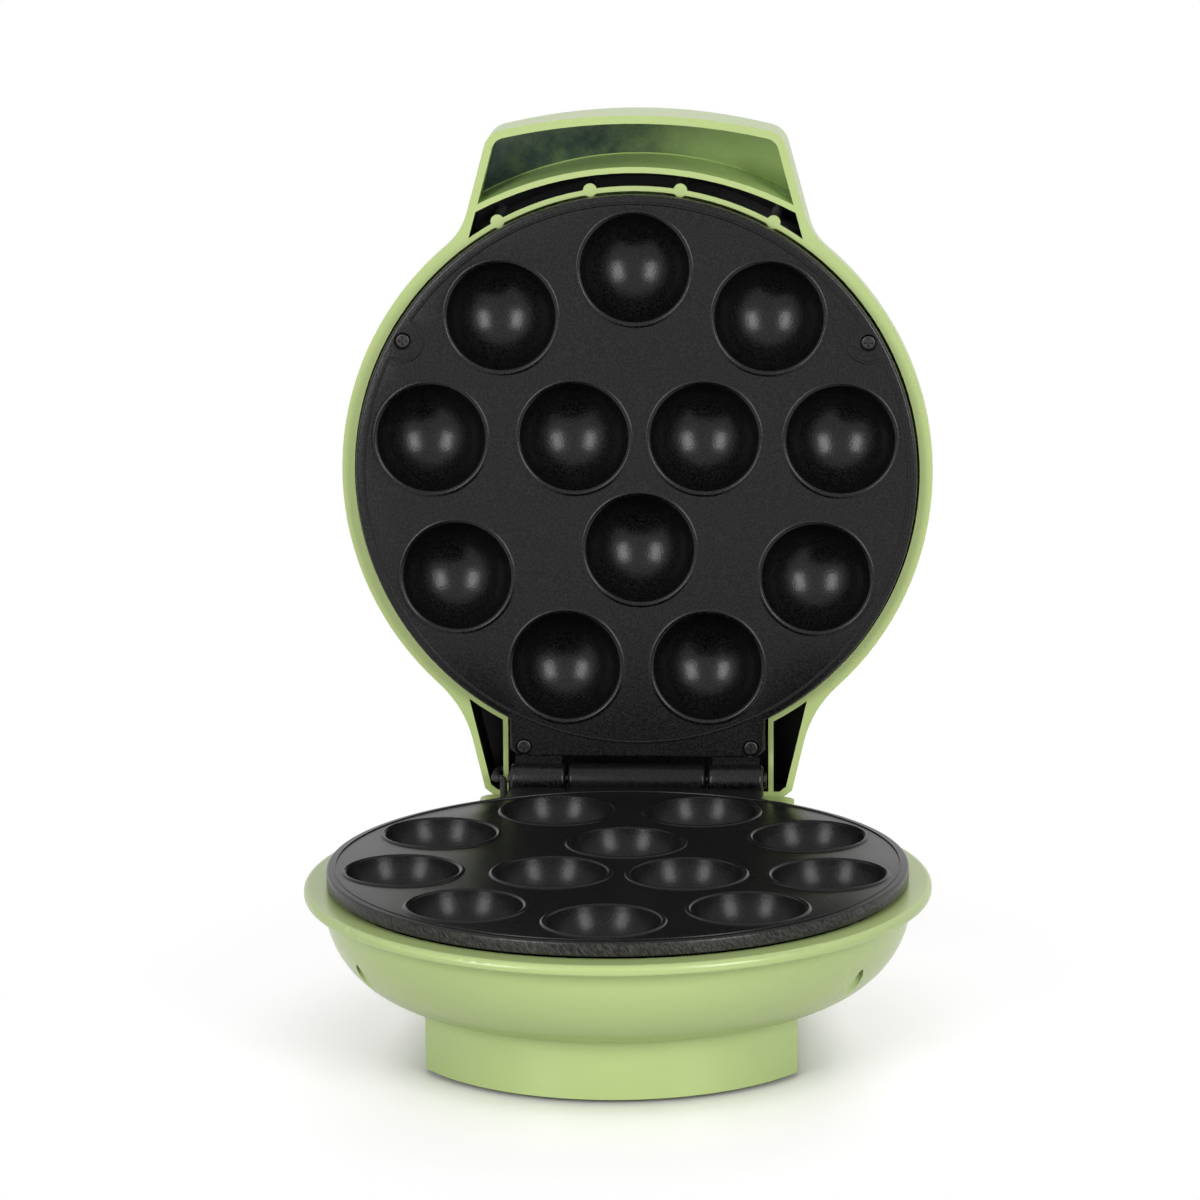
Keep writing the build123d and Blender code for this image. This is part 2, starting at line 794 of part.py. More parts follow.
def base_housing():
    body = bowl(0) + flange() + pedestal(0, pedestal_bottom) + shelf(0) + lid_stops()
    body -= bowl(housing_wall)
    body -= pedestal(housing_wall, pedestal_bottom) - bowl(0)
    hollow = shelf(housing_wall) - pedestal(0, pedestal_bottom)
    body -= hollow
    for x, y in side_screw_places():
        tube, recess = screw_recess(x, y)
        body += tube
        body -= recess
        body -= rod(pilot_radius, side_boss_bottom - housing_wall, side_boss_bottom, x, y)
    shelf_low = flange_top - shelf_depth
    for x, y in tab_screw_places():
        body -= rod(screw_head_radius + head_clearance, shelf_low, shelf_low + housing_wall, x, y)
        body -= rod(pilot_radius, flange_top - housing_wall, flange_top, x, y)
    post_top = -reflector_depth - reflector_thickness
    for angle in reflector_screw_angles:
        x, y = polar(reflector_screw_ring, angle)
        post = rod(reflector_post_radius, bowl_bottom, post_top, x, y) & bowl(0)
        body += post - rod(pilot_radius, bowl_floor + 1, post_top, x, y)
    for x, y in cover_post_places():
        body += rod(cover_post_radius, cover_top, bowl_bottom, x, y)
        body -= rod(pilot_radius, cover_top, bowl_bottom, x, y)
    body -= rod(wire_hole_radius, bowl_bottom, bowl_floor, 0, wire_hole_y)
    gland_z = pedestal_bottom + gland_height
    body -= Pos(0, pedestal_back, gland_z) * Rot(90, 0, 0) * Cylinder(
        gland_neck_radius + gland_clearance, 4 * housing_wall)
    sleeve_x, sleeve_y = base_sleeve_place()
    body -= rod(sleeve_radius + sleeve_clearance, flange_top - housing_wall, flange_top, sleeve_x, sleeve_y)
    return body


def bottom_cover():
    """Plate that closes the pedestal, with air slots, feet sockets and sunk screws."""
    low = pedestal_bottom + cover_recess
    plan = offset(pedestal_plan(), amount=-housing_wall - cover_clearance)
    cover = raised(plan, low, cover_top)
    for x, y in cover_post_places():
        cover -= rod(screw_head_radius + head_clearance, low, low + screw_head_height, x, y)
        cover -= rod(pilot_radius, low, cover_top, x, y)
    for x, y in foot_places():
        cover -= rod(foot_stem_radius + foot_stem_clearance, low, cover_top, x, y)
    for i in range(vent_count):
        y = (i - (vent_count - 1) / 2) * vent_pitch - vent_pitch
        slot = Pos(0, y) * SlotOverall(vent_length, vent_width)
        cover -= raised(slot, low, cover_top)
    return cover


def bottom_cover_screws():
    seat = pedestal_bottom + cover_recess + screw_head_height
    return Compound(children=[
        pan_screw(x, y, seat, bite_length, False) for x, y in cover_post_places()
    ])


def foot_places():
    return both_sides(foot_x, foot_front) + both_sides(foot_x, foot_back)


def rubber_feet():
    """Round pads with a stem pulled through the cover."""
    low = -face_height
    seat = pedestal_bottom + cover_recess
    feet = []
    for x, y in foot_places():
        pad = rod(foot_radius, low, seat, x, y)
        pad = fillet(pad.edges().filter_by(GeomType.CIRCLE).sort_by(Axis.Z)[:1], foot_proud / 3)
        stem = rod(foot_stem_radius, seat, cover_top, x, y)
        barb = rod(foot_barb_radius, cover_top, cover_top + foot_barb_height, x, y)
        feet.append(pad + stem + barb)
    return Compound(children=feet)


def terminal_block():
    """Screw terminals in a moulded block on the cover."""
    block = slab(-block_length / 2, block_length / 2, block_y - block_width / 2,
                 block_y + block_width / 2, cover_top, cover_top + block_height)
    top = cover_top + block_height
    for i in range(block_pole_count):
        for side in (-1, 1):
            y = block_y + side * block_width / 4
            block -= rod(screw_head_radius, top - block_height / 3, top, pole_x(i), y)
    return block


def cord_gland():
    """Rubber bush in the back wall of the pedestal, where a supply cord would enter."""
    z = pedestal_bottom + gland_height
    wall_mid = pedestal_back - housing_wall / 2
    half = housing_wall / 2
    outer = Pos(0, -half - gland_flange_thickness / 2, 0) * Rot(90, 0, 0)
    shape = Rot(90, 0, 0) * Cylinder(gland_neck_radius, housing_wall + 2 * gland_flange_thickness)
    shape += outer * Cylinder(gland_flange_radius, gland_flange_thickness)
    shape += Pos(0, half + gland_flange_thickness / 2, 0) * Rot(90, 0, 0) * Cylinder(
        gland_flange_radius, gland_flange_thickness)
    length = housing_wall + 2 * gland_flange_thickness
    shape -= Rot(90, 0, 0) * Cylinder(gland_bore_radius, length)
    return Pos(0, wall_mid, z) * shape


def lead(points, bend, radius):
    """Wire or sleeve: straight runs joined by round bends."""
    spots = [Vector(*point) for point in points]
    path = []
    start = spots[0]
    for here, corner, there in zip(spots, spots[1:], spots[2:]):
        before = (corner - here).normalized()
        after = (there - corner).normalized()
        turn = radians(before.get_angle(after))
        begin = corner - before * (bend * tan(turn / 2))
        end = corner + after * (bend * tan(turn / 2))
        middle = corner + (after - before).normalized() * (bend / cos(turn / 2) - bend)
        path.append(Edge.make_line(start, begin))
        path.append(Edge.make_three_point_arc(begin, middle, end))
        start = end
    path.append(Edge.make_line(start, spots[-1]))
    section = Plane(origin=spots[0], z_dir=spots[1] - spots[0]) * Circle(radius)
    return sweep(section, path=Wire(path))


def element_pin_end():
    return -element_depth - element_bend - element_leg - element_pin_length


def blade_place(side):
    """Where a lead meets the underside of a thermostat blade."""
    x, y = polar(thermostat_ring, thermostat_angle, inner_well_shift)
    z = thermostat_bottom() + thermostat_height / 2 - blade_thickness
    return x + side * (thermostat_radius + blade_length / 2), y, z


def element_to_thermostat():
    """Lead from the element's right pin, through the reflector, to the right blade."""
    x, y = max(element_end_places())
    end = element_pin_end()
    low = end - 2 * lead_bend
    bx, by, bz = blade_place(1)
    return lead([(x, y, end), (x, y, low), (bx, by, low), (bx, by, bz)], lead_bend / 2, lead_radius)


def base_sleeve_place():
    """Where the sleeve for the lid's leads comes up out of the shelf."""
    return -(pin_tail() + sleeve_radius + sleeve_gap), hinge_reach


def sleeve_split():
    """The two sleeves meet on the hinge axis, where the leads only twist."""
    return base_sleeve_place()[0] - sleeve_bend - sleeve_clearance


def base_sleeve_start():
    return -2.0, wire_hole_y - 16, bowl_bottom - 4


def lead_sleeve_base():
    """From beside the terminal block, up through the wire hole, along the bowl to the hinge axis."""
    x, y = base_sleeve_place()
    start_x, start_y, start_z = base_sleeve_start()
    up_y = wire_hole_y + wire_hole_radius / 2
    near = polar(reflector_radius - 2, 118.5)
    past = polar(reflector_radius + 5.3, 119)
    shelf_z = flange_top - shelf_depth / 2
    return lead([(start_x, start_y, start_z), (start_x, up_y, start_z), (start_x, up_y, bowl_floor + 3.5),
                 (*near, -reflector_depth - 6.5), (*past, -reflector_depth + 1.5),
                 (x, bowl_radius - 14, shelf_z), (x, y, shelf_z), (x, y, axis_height),
                 (sleeve_split(), y, axis_height)], sleeve_bend, sleeve_radius)


def sleeve_depth():
    return lid_rim_depth + 8


def lead_sleeve_lid():
    """Built shut: from the hinge axis up into the ear and in through the channel wall."""
    start = sleeve_split() - sleeve_gap
    x = start - sleeve_bend - sleeve_clearance
    deep = sleeve_depth()
    inside = -channel_half_width + rim_wall
    return lead([(start, hinge_reach, -axis_height), (x, hinge_reach, -axis_height),
                 (x, hinge_reach, deep), (inside, hinge_reach, deep)], sleeve_bend, sleeve_radius)


def pole_x(index):
    return (index - (block_pole_count - 1) / 2) * block_pole_pitch


def base_leads():
    """Leads from the terminal block to the element, the thermostat and the lid's sleeve."""
    y = block_y + block_width / 4
    low = cover_top + block_height * 2 / 3
    leads = [element_to_thermostat()]
    x, pin_y = min(element_end_places())
    high = bowl_bottom - 3.4
    leads.append(lead([(pole_x(0), y, low), (pole_x(0), y, high), (x, pin_y, high),
                       (x, pin_y, element_pin_end())], lead_bend, lead_radius))
    sleeve_x, sleeve_y, sleeve_z = base_sleeve_start()
    for index, side in ((1, -1), (2, 1)):
        end_x = sleeve_x + side * lead_offset
        leads.append(lead([(pole_x(index), y, low), (pole_x(index), y, sleeve_z), (end_x, sleeve_y - 3, sleeve_z),
                           (end_x, sleeve_y, sleeve_z)], lead_bend, lead_radius))
    bx, by, bz = blade_place(-1)
    under = bowl_bottom - 5.4
    over = bowl_floor + 3.7
    hole_y = wire_hole_y - 7
    leads.append(lead([(pole_x(3), y, low), (pole_x(3), y, under), (1.5, hole_y, under),
                       (1.5, hole_y, over), (bx, by, over), (bx, by, bz)], lead_bend, lead_radius))
    return Compound(children=leads)


# Lid housing, built shut with depth measured upwards from the upper plate's face

def crown_centre():
    return lid_height - lid_crown


def shoulder_height():
    """Height where the lid's upright side turns into its round shoulder."""
    inset_r = lid_radius - lid_corner
    return crown_centre() + sqrt((lid_crown - lid_corner)**2 - inset_r**2)


def dome(inset, low):
    """Domed lid turned about the plate's centre: upright side, shoulder and shallow crown."""
    centre_r = lid_radius - lid_corner
    centre_z = shoulder_height()
    corner = lid_corner - inset
    crown = lid_crown - inset
    reach = crown / (lid_crown - lid_corner)
    meet = (centre_r * reach, crown_centre() + (centre_z - crown_centre()) * reach)
    turn = degrees(atan2(meet[1] - centre_z, meet[0] - centre_r))
    half_r = meet[0] / 2
    half_way = (half_r, crown_centre() + sqrt(crown**2 - half_r**2))
    top = crown_centre() + crown
    return turned([
        Line((0, low), (centre_r + corner, low)),
        Line((centre_r + corner, low), (centre_r + corner, centre_z)),
        CenterArc((centre_r, centre_z), corner, 0, turn),
        ThreePointArc(meet, half_way, (0, top)),
        Line((0, top), (0, low)),
    ])


def handle_slope():
    return (handle_half_root - handle_half_end) / (handle_root_y - handle_end_y)


def handle_plan():
    """Trapezium with a bowed front and round corners, run back into the dome."""
    slope = handle_slope()
    back = -lid_radius / 2
    front = -handle_reach - 5
    wide = handle_half_root + slope * (back - handle_root_y)
    narrow = handle_half_root + slope * (front - handle_root_y)
    plan = Polygon((wide, back), (narrow, front), (-narrow, front), (-wide, back), align=None)
    plan &= Pos(0, handle_front_arc - handle_reach) * Circle(handle_front_arc)
    return fillet(plan.vertices().sort_by(Axis.Y)[:2], handle_corner)


def ear_slope():
    return (ear_half_root - ear_half_end) / (ear_end - ear_root_y)


def ear_plan():
    """Block at the hinge end, narrowing to the end wall."""
    front = lid_radius / 2
    wide = ear_half_end + ear_slope() * (ear_end - front)
    plan = Polygon((wide, front), (ear_half_end, ear_end), (-ear_half_end, ear_end), (-wide, front), align=None)
    return chamfer(plan.vertices().sort_by(Axis.Y)[-2:], ear_corner)


def handle_block(inset, low):
    plan = handle_plan() if inset == 0 else offset(handle_plan(), amount=-inset)
    return raised(plan, low, lid_height) & pillow(handle_pillow_y, handle_height - inset, pillow_radius - inset, 1)


def ear_block(inset, low):
    plan = ear_plan() if inset == 0 else offset(ear_plan(), amount=-inset)
    return raised(plan, low, lid_height) & pillow(ear_pillow_y, ear_height - inset, pillow_radius - inset, -1)


def side_meets_rim(half, y, slope):
    """Point where a straight side, half wide at y, meets the lid's round rim."""
    low, high = 0.0, lid_radius
    for _ in range(60):
        mid = (low + high) / 2
        x = half + slope * (abs(y) - mid)
        if hypot(x, mid) < lid_radius:
            low = mid
        else:
            high = mid
    return half + slope * (abs(y) - mid), mid


def side_edges(form, x, y):
    """Inner corner edges where a block's sides run into the dome."""
    picked = []
    for edge in form.edges():
        if edge.geom_type == GeomType.CIRCLE:
            continue
        ends = [v for v in edge.vertices() if hypot(abs(v.X) - x, v.Y - y) < 0.05]
        if ends and edge.bounding_box().size.Z > 1:
            picked.append(edge)
    return picked


def pillow_edges(form, centre_y, height):
    """Outer edges of a domed top, away from where it meets the dome."""
    centre = Vector(0, centre_y, height - pillow_radius)
    picked = []
    for edge in form.edges():
        spots = [edge @ 0, edge @ 0.5, edge @ 1]
        if any(abs((spot - centre).length - pillow_radius) > 0.02 for spot in spots):
            continue
        if hypot(spots[1].X, spots[1].Y) > lid_radius - lid_wall * 2 and (spots[1].Y > 0) == (centre_y > 0):
            picked.append(edge)
    return picked


def lid_outer():
    """Outer form of the lid: dome, handle block and ear block, blended."""
    form = dome(0, lid_rim_depth) + handle_block(0, lid_rim_depth) + ear_block(0, lid_rim_depth)
    x, y = side_meets_rim(handle_half_root, handle_root_y, handle_slope())
    form = fillet(side_edges(form, x, -y), handle_blend)
    x, y = side_meets_rim(ear_half_end, ear_end, ear_slope())
    form = fillet(side_edges(form, x, y), ear_blend)
    form = fillet(pillow_edges(form, handle_pillow_y, handle_height), top_edge_round)
    return fillet(pillow_edges(form, ear_pillow_y, ear_height), top_edge_round)


def channel_plan(grow):
    """Round of the plate with the channel of the hinge tab, grown outwards."""
    half = channel_half_width + grow
    strip = Pos(0, ear_end / 2) * Rectangle(2 * half, ear_end)
    return Circle(rim_inner + grow) + strip


def grip_wall():
    """Curved wall between the finger recess and the slot, thicker towards its root."""
    outer = grip_wall_radius + grip_wall_thickness / 2
    inner = grip_wall_radius - grip_wall_thickness / 2
    rise = lid_height - lid_rim_depth
    spread = rise * sin(radians(grip_wall_draft))
    ring = turned([
        Line((inner, lid_rim_depth), (outer, lid_rim_depth)),
        Line((outer, lid_rim_depth), (outer + spread, lid_height)),
        Line((outer + spread, lid_height), (inner, lid_height)),
        Line((inner, lid_height), (inner, lid_rim_depth)),
    ])
    centre_y = grip_wall_radius - grip_wall_front
    front = slab(-lid_radius, lid_radius, -2 * lid_radius, -lid_radius / 2, lid_rim_depth, lid_height)
    return (Pos(0, centre_y, 0) * ring) & front


def rim_bosses():
    bosses = []
    for angle in rim_boss_angles:
        for side in (-1, 1):
            x, y = polar(rim_boss_ring, -90 + side * angle)
            bosses.append(rod(rim_boss_radius, lid_rim_depth, lid_height, x, y))
    return bosses


def ear_ribs():
    """Ribs that stiffen the end wall behind the hinge."""
    half = ear_rib_thickness / 2
    front = hinge_reach + ear_rib_back
    return [slab(x - half, x + half, front, ear_end, lid_rim_depth, lid_height) for x in ear_rib_places]


def lid_housing():
    outer = lid_outer()
    hollow = dome(lid_wall, 0) + handle_block(handle_wall, 0) + ear_block(ear_wall, 0)
    walls = raised(channel_plan(rim_wall), lid_rim_depth, lid_height)
    walls -= raised(channel_plan(0), lid_rim_depth, lid_height)
    hollow -= walls
    hollow -= grip_wall()
    for solid in rim_bosses() + ear_ribs():
        hollow -= solid
    for x, y in side_screw_places():
        hollow -= rod(side_boss_radius, side_boss_depth, lid_height, x, y)
    for x, y in tab_screw_places():
        hollow -= rod(tab_boss_radius, -tab_boss_bottom, lid_height, x, y)
    post_low = reflector_depth + reflector_thickness
    for angle in reflector_screw_angles:
        x, y = polar(reflector_screw_ring, angle)
        hollow -= rod(reflector_post_radius, post_low, lid_height, x, y)
    body = outer - hollow
    for x, y in side_screw_places():
        body -= rod(pilot_radius, side_boss_depth, side_boss_depth + bite_length + 1, x, y)
    for x, y in tab_screw_places():
        body -= rod(pilot_radius, -tab_boss_bottom, -tab_boss_bottom + bite_length + 1, x, y)
    for angle in reflector_screw_angles:
        x, y = polar(reflector_screw_ring, angle)
        body -= rod(pilot_radius, post_low, post_low + bite_length * 0.8 + 1, x, y)
    for x, y in both_sides(lamp_x, lamp_y):
        body -= rod(lens_radius + lens_clearance, lid_height / 2, lid_height, x, y)
    deep = sleeve_depth()
    body -= cross_rod(sleeve_radius + sleeve_clearance, -channel_half_width - rim_wall,
                      -channel_half_width, hinge_reach, deep)
    return body


def crown_skin(x, y):
    """Heights of the crown's inner and outer skin above a place."""
    r = hypot(x, y)
    inner = crown_centre() + sqrt((lid_crown - lid_wall)**2 - r**2)
    return inner, crown_centre() + sqrt(lid_crown**2 - r**2)


def lamp_lens(side):
    """Clear cap with a flange that stays inside the lid."""
    x = side * lamp_x
    inner, outer = crown_skin(x, lamp_y)
    seat = inner - lens_seat_gap
    cap = rod(lens_radius, seat, outer + lens_proud, x, lamp_y)
    cap = fillet(cap.edges().filter_by(GeomType.CIRCLE).sort_by(Axis.Z)[-1:], lens_proud * 0.8)
    return cap + rod(lens_flange_radius, seat - lens_flange_thickness, seat, x, lamp_y)


def lamp_holders():
    """Sleeved neon lamps, one behind each lens."""
    holders = []
    for side in (-1, 1):
        x = side * lamp_x
        inner, _ = crown_skin(x, lamp_y)
        top = inner - lens_seat_gap - lens_flange_thickness
        holders.append(rod(lamp_radius, top - lamp_length, top, x, lamp_y))
    return Compound(children=holders)


def lid_leads():
    """Leads inside the lid: from the sleeve to the element, the thermostat and the lamps."""
    deep = sleeve_depth()
    inside = -channel_half_width + rim_wall
    back = reflector_depth + 5
    pin_top = -element_pin_end()
    x, y = min(element_end_places())
    near = hinge_reach - lead_offset
    far = hinge_reach + lead_offset
    leads = [mirror(element_to_thermostat(), about=Plane.XY)]
    leads.append(lead([(inside, near, deep), (inside + 8, near, deep), (inside + 8, near, back),
                       (x, y + 15, back), (x, y, pin_top + 3), (x, y, pin_top)], lead_bend / 2, lead_radius))
    bx, by, bz = blade_place(-1)
    leads.append(lead([(inside, far, deep), (inside + 11, far, deep), (inside + 11, far, back + 3),
                       (bx, y + 9, back + 3), (bx, by, back + 3), (bx, by, -bz)], lead_bend, lead_radius))
    inner, _ = crown_skin(lamp_x, lamp_y)
    lamp_low = inner - lens_seat_gap - lens_flange_thickness - lamp_length
    for side, (pin_x, pin_y) in zip((1, -1), element_end_places()):
        away = Vector(side * lamp_x - pin_x, lamp_y - pin_y).normalized() * element_pin_radius
        level = lamp_low - 1.5
        leads.append(lead([(side * lamp_x, lamp_y, lamp_low), (side * lamp_x, lamp_y, level),
                           (pin_x + away.X, pin_y + away.Y, level)], lead_bend / 2, lead_radius))
    return Compound(children=leads)


# Placing and writing the pieces

def middle_y():
    """Half way between the rim's front and the back of the open lid's crown."""
    turn = radians(open_angle)
    crown_y = -hinge_reach * cos(turn) + (crown_centre() + axis_height) * sin(turn)
    return (hinge_reach + crown_y + lid_crown - flange_radius) / 2


def on_base(shape):
    return Pos(0, -middle_y(), face_height) * shape


def on_lid(shape):
    """Closed lid pieces, turned back about the hinge to the open rest."""
    closed = Pos(0, 0, face_height + closed_gap) * shape
    return Pos(0, -middle_y(), 0) * closed.rotate(hinge_axis, -open_angle)


def turned_over(shape):
    return on_lid(mirror(shape, about=Plane.XY))


pieces = {
    "base_housing": on_base(base_housing()),
    "bottom_cover": on_base(bottom_cover()),
    "bottom_cover_screws": on_base(bottom_cover_screws()),
    "rubber_feet": on_base(rubber_feet()),
    "lower_plate": on_base(lower_plate()),
    "lower_plate_screws": on_base(lower_plate_screws()),
    "lower_heating_element": on_base(heating_element()),
    "lower_element_clamps": on_base(element_clamps()),
    "lower_clamp_screws": on_base(clamp_screws()),
    "lower_reflector": on_base(reflector()),
    "lower_reflector_screws": on_base(reflector_screws()),
    "lower_thermostat": on_base(thermostat()),
    "lower_thermostat_strap": on_base(thermostat_strap()),
    "lower_thermostat_screw": on_base(thermostat_strap_screw()),
    "thermal_fuse": on_base(thermal_fuse()),
    "fuse_strap": on_base(fuse_strap()),
    "fuse_strap_screw": on_base(fuse_strap_screw()),
    "terminal_block": on_base(terminal_block()),
    "base_leads": on_base(base_leads()),
    "lead_sleeve_base": on_base(lead_sleeve_base()),
    "cord_gland": on_base(cord_gland()),
    "hinge_pin": on_base(hinge_pin()),
    "hinge_pin_clip": on_base(hinge_pin_clip()),
    "lid_housing": on_lid(lid_housing()),
    "upper_plate": turned_over(upper_plate()),
    "upper_plate_screws": turned_over(upper_plate_screws()),
    "upper_heating_element": turned_over(heating_element()),
    "upper_element_clamps": turned_over(element_clamps()),
    "upper_clamp_screws": turned_over(clamp_screws()),
    "upper_reflector": turned_over(reflector()),
    "upper_reflector_screws": turned_over(reflector_screws()),
    "upper_thermostat": turned_over(thermostat()),
    "upper_thermostat_strap": turned_over(thermostat_strap()),
    "upper_thermostat_screw": turned_over(thermostat_strap_screw()),
    "lead_sleeve_lid": on_lid(lead_sleeve_lid()),
    "lid_leads": on_lid(lid_leads()),
    "power_lamp_lens": on_lid(lamp_lens(-1)),
    "ready_lamp_lens": on_lid(lamp_lens(1)),
    "lamp_holders": on_lid(lamp_holders()),
}

os.makedirs("parts", exist_ok=True)
for name, piece in pieces.items():
    export_step(piece, f"parts/{name}.step")
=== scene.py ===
from math import acos, asin, cos, pi, radians, sin, sqrt

import bmesh
import bpy
from mathutils import Matrix, Vector


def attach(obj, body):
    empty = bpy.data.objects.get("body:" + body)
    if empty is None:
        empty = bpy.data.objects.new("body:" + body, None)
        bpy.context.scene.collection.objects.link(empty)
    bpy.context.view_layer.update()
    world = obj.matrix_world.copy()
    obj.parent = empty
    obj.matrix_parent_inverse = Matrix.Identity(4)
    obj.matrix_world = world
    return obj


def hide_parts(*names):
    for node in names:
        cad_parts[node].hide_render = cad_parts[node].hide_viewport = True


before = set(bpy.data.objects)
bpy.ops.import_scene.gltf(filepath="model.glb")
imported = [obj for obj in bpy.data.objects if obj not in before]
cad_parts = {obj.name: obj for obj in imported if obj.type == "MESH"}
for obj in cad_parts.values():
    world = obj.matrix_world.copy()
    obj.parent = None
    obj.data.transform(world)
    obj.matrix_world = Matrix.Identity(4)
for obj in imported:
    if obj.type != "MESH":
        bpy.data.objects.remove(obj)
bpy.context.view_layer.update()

# Camera: the photograph's viewpoint, a long lens a little above the plate and just right of
# the middle. It looks from 2.5 m with the lens that fits the wells' spacing.
plate_y = -0.02744
yaw, tilt, roll = radians(3.91), radians(13.14), radians(-0.54)
back = Vector((sin(yaw) * cos(tilt), -cos(yaw) * cos(tilt), sin(tilt)))
side = Vector((cos(yaw), sin(yaw), 0))
up = back.cross(side)
right = cos(roll) * side + sin(roll) * up
top = -sin(roll) * side + cos(roll) * up
aim = Vector((0, plate_y, 0.063))
place = aim + 2.5 * back - 0.0060 * right + 0.0899 * top
camera = bpy.data.objects.new("Camera", bpy.data.cameras.new("Camera"))
camera.data.lens = 7315 / 1200 * 36
camera.data.sensor_width = 36
camera.data.clip_end = 50
turn = Matrix((right, top, back)).transposed().to_4x4()
camera.matrix_world = Matrix.Translation(place) @ turn
bpy.context.scene.collection.objects.link(camera)
bpy.context.scene.camera = camera
bpy.context.scene.view_settings.view_transform = "Standard"


def srgb(code, alpha=1.0):
    """An sRGB hex colour as the linear colour that the shaders take."""
    parts = [int(code[i:i + 2], 16) / 255 for i in (1, 3, 5)]
    linear = [c / 12.92 if c <= 0.04045 else ((c + 0.055) / 1.055) ** 2.4 for c in parts]
    return (*linear, alpha)


def add(tree, kind, settings=None, links=None):
    """A node with its settings; links joins its inputs to other nodes' outputs."""
    made = tree.nodes.new(kind)
    for key, value in (settings or {}).items():
        if isinstance(key, int) or key in made.inputs:
            made.inputs[key].default_value = value
        else:
            setattr(made, key, value)
    for key, source in (links or {}).items():
        tree.links.new(made.inputs[key], source)
    return made


def material(name):
    """An empty node material of that name, and its tree."""
    made = bpy.data.materials.new(name)
    made.use_nodes = True
    made.node_tree.nodes.clear()
    return made, made.node_tree


# Stage: a white sheet of studio board, slightly glossy, so that the pedestal is faintly
# mirrored in it. The board and the room show white to the camera and in reflections. The board
# keeps the object's shadow, has a painted contact shadow close to the object, and goes over to
# plain white away from it; it is clear from below.
def shown_white(tree):
    """1 for the rays that see the white background, 0 for those that carry light to the object."""
    rays = add(tree, "ShaderNodeLightPath")
    either = add(tree, "ShaderNodeMath", {"operation": "MAXIMUM"},
                 {0: rays.outputs["Is Camera Ray"], 1: rays.outputs["Is Glossy Ray"]})
    return add(tree, "ShaderNodeMath", {"operation": "MAXIMUM"},
               {0: either.outputs[0], 1: rays.outputs["Is Transmission Ray"]}).outputs[0]


board, tree = material("white_studio_board")
pale = add(tree, "ShaderNodeBsdfDiffuse", {"Color": srgb("#C8C8C8")})
paper = add(tree, "ShaderNodeBsdfPrincipled", {"Base Color": srgb("#F3F0F4"), "Roughness": 0.3,
                                               "Specular IOR Level": 0.15})
# Painted contact shadow: ambient occlusion dims the board's white glow close to the object.
contact_shadow_occlusion = add(tree, "ShaderNodeAmbientOcclusion", {"samples": 8, "Distance": 0.02})
lift = add(tree, "ShaderNodeMapRange", {"From Min": 0.5, "From Max": 1.0, "To Min": 0.0, "To Max": 0.3},
           {"Value": contact_shadow_occlusion.outputs["AO"]})
glow = add(tree, "ShaderNodeEmission", {"Color": (1, 1, 1, 1)}, {"Strength": lift.outputs[0]})
lifted = add(tree, "ShaderNodeAddShader", links={0: paper.outputs[0], 1: glow.outputs[0]})
spot = add(tree, "ShaderNodeTexCoord")
reach = add(tree, "ShaderNodeVectorMath", {"operation": "LENGTH"}, {0: spot.outputs["Object"]})
away = add(tree, "ShaderNodeMapRange", {"interpolation_type": "SMOOTHSTEP", "From Min": 0.11, "From Max": 0.22},
           {"Value": reach.outputs["Value"]})
blank = add(tree, "ShaderNodeEmission", {"Color": (1, 1, 1, 1), "Strength": 1.0})
shaded = add(tree, "ShaderNodeMixShader", links={0: away.outputs[0], 1: lifted.outputs[0], 2: blank.outputs[0]})
above = add(tree, "ShaderNodeMixShader", links={0: shown_white(tree), 1: pale.outputs[0], 2: shaded.outputs[0]})
face = add(tree, "ShaderNodeNewGeometry")
clear = add(tree, "ShaderNodeBsdfTransparent")
whole = add(tree, "ShaderNodeMixShader", links={0: face.outputs["Backfacing"], 1: above.outputs[0],
                                                2: clear.outputs[0]})
add(tree, "ShaderNodeOutputMaterial", links={0: whole.outputs[0]})
bpy.ops.mesh.primitive_plane_add(size=12)
floor = bpy.context.object
floor.name = "floor"
floor.data.materials.append(board)

world = bpy.data.worlds.new("studio")
world.use_nodes = True
bpy.context.scene.world = world
tree = world.node_tree
tree.nodes.clear()
room = add(tree, "ShaderNodeBackground", {"Color": (1, 1, 1, 1), "Strength": 0.13})
white = add(tree, "ShaderNodeBackground", {"Color": (1, 1, 1, 1), "Strength": 1.0})
mixed = add(tree, "ShaderNodeMixShader", links={0: shown_white(tree), 1: room.outputs[0], 2: white.outputs[0]})
add(tree, "ShaderNodeOutputWorld", links={0: mixed.outputs[0]})


# Lamps: two tall softboxes left and right of the camera, which make the pair of highlights in
# every well, and two large ones above and behind that only fill the shadows.
def softbox(name, spot, target, width, height, power):
    """A rectangular area lamp at a spot, turned to its target."""
    lamp = bpy.data.lights.new(name, "AREA")
    lamp.shape, lamp.size, lamp.size_y, lamp.energy = "RECTANGLE", width, height, power
    holder = bpy.data.objects.new(name, lamp)
    holder.location = spot
    holder.rotation_mode = "QUATERNION"
    holder.rotation_quaternion = (Vector(target) - Vector(spot)).to_track_quat("-Z", "Y")
    bpy.context.scene.collection.objects.link(holder)
    return holder


middle = (0, 0, 0.15)
softbox("softbox_left", (-1.00, -1.48, 0.66), middle, 0.66, 1.1, 20)
softbox("softbox_right", (1.19, -1.33, 0.66), middle, 0.66, 1.1, 20)
softbox("softbox_top", (0, -0.5, 1.9), (0, 0, 0.1), 1.6, 1.2, 7).visible_glossy = False
softbox("softbox_back", (0.3, 2.0, 1.5), middle, 1.4, 1.4, 26).visible_glossy = False


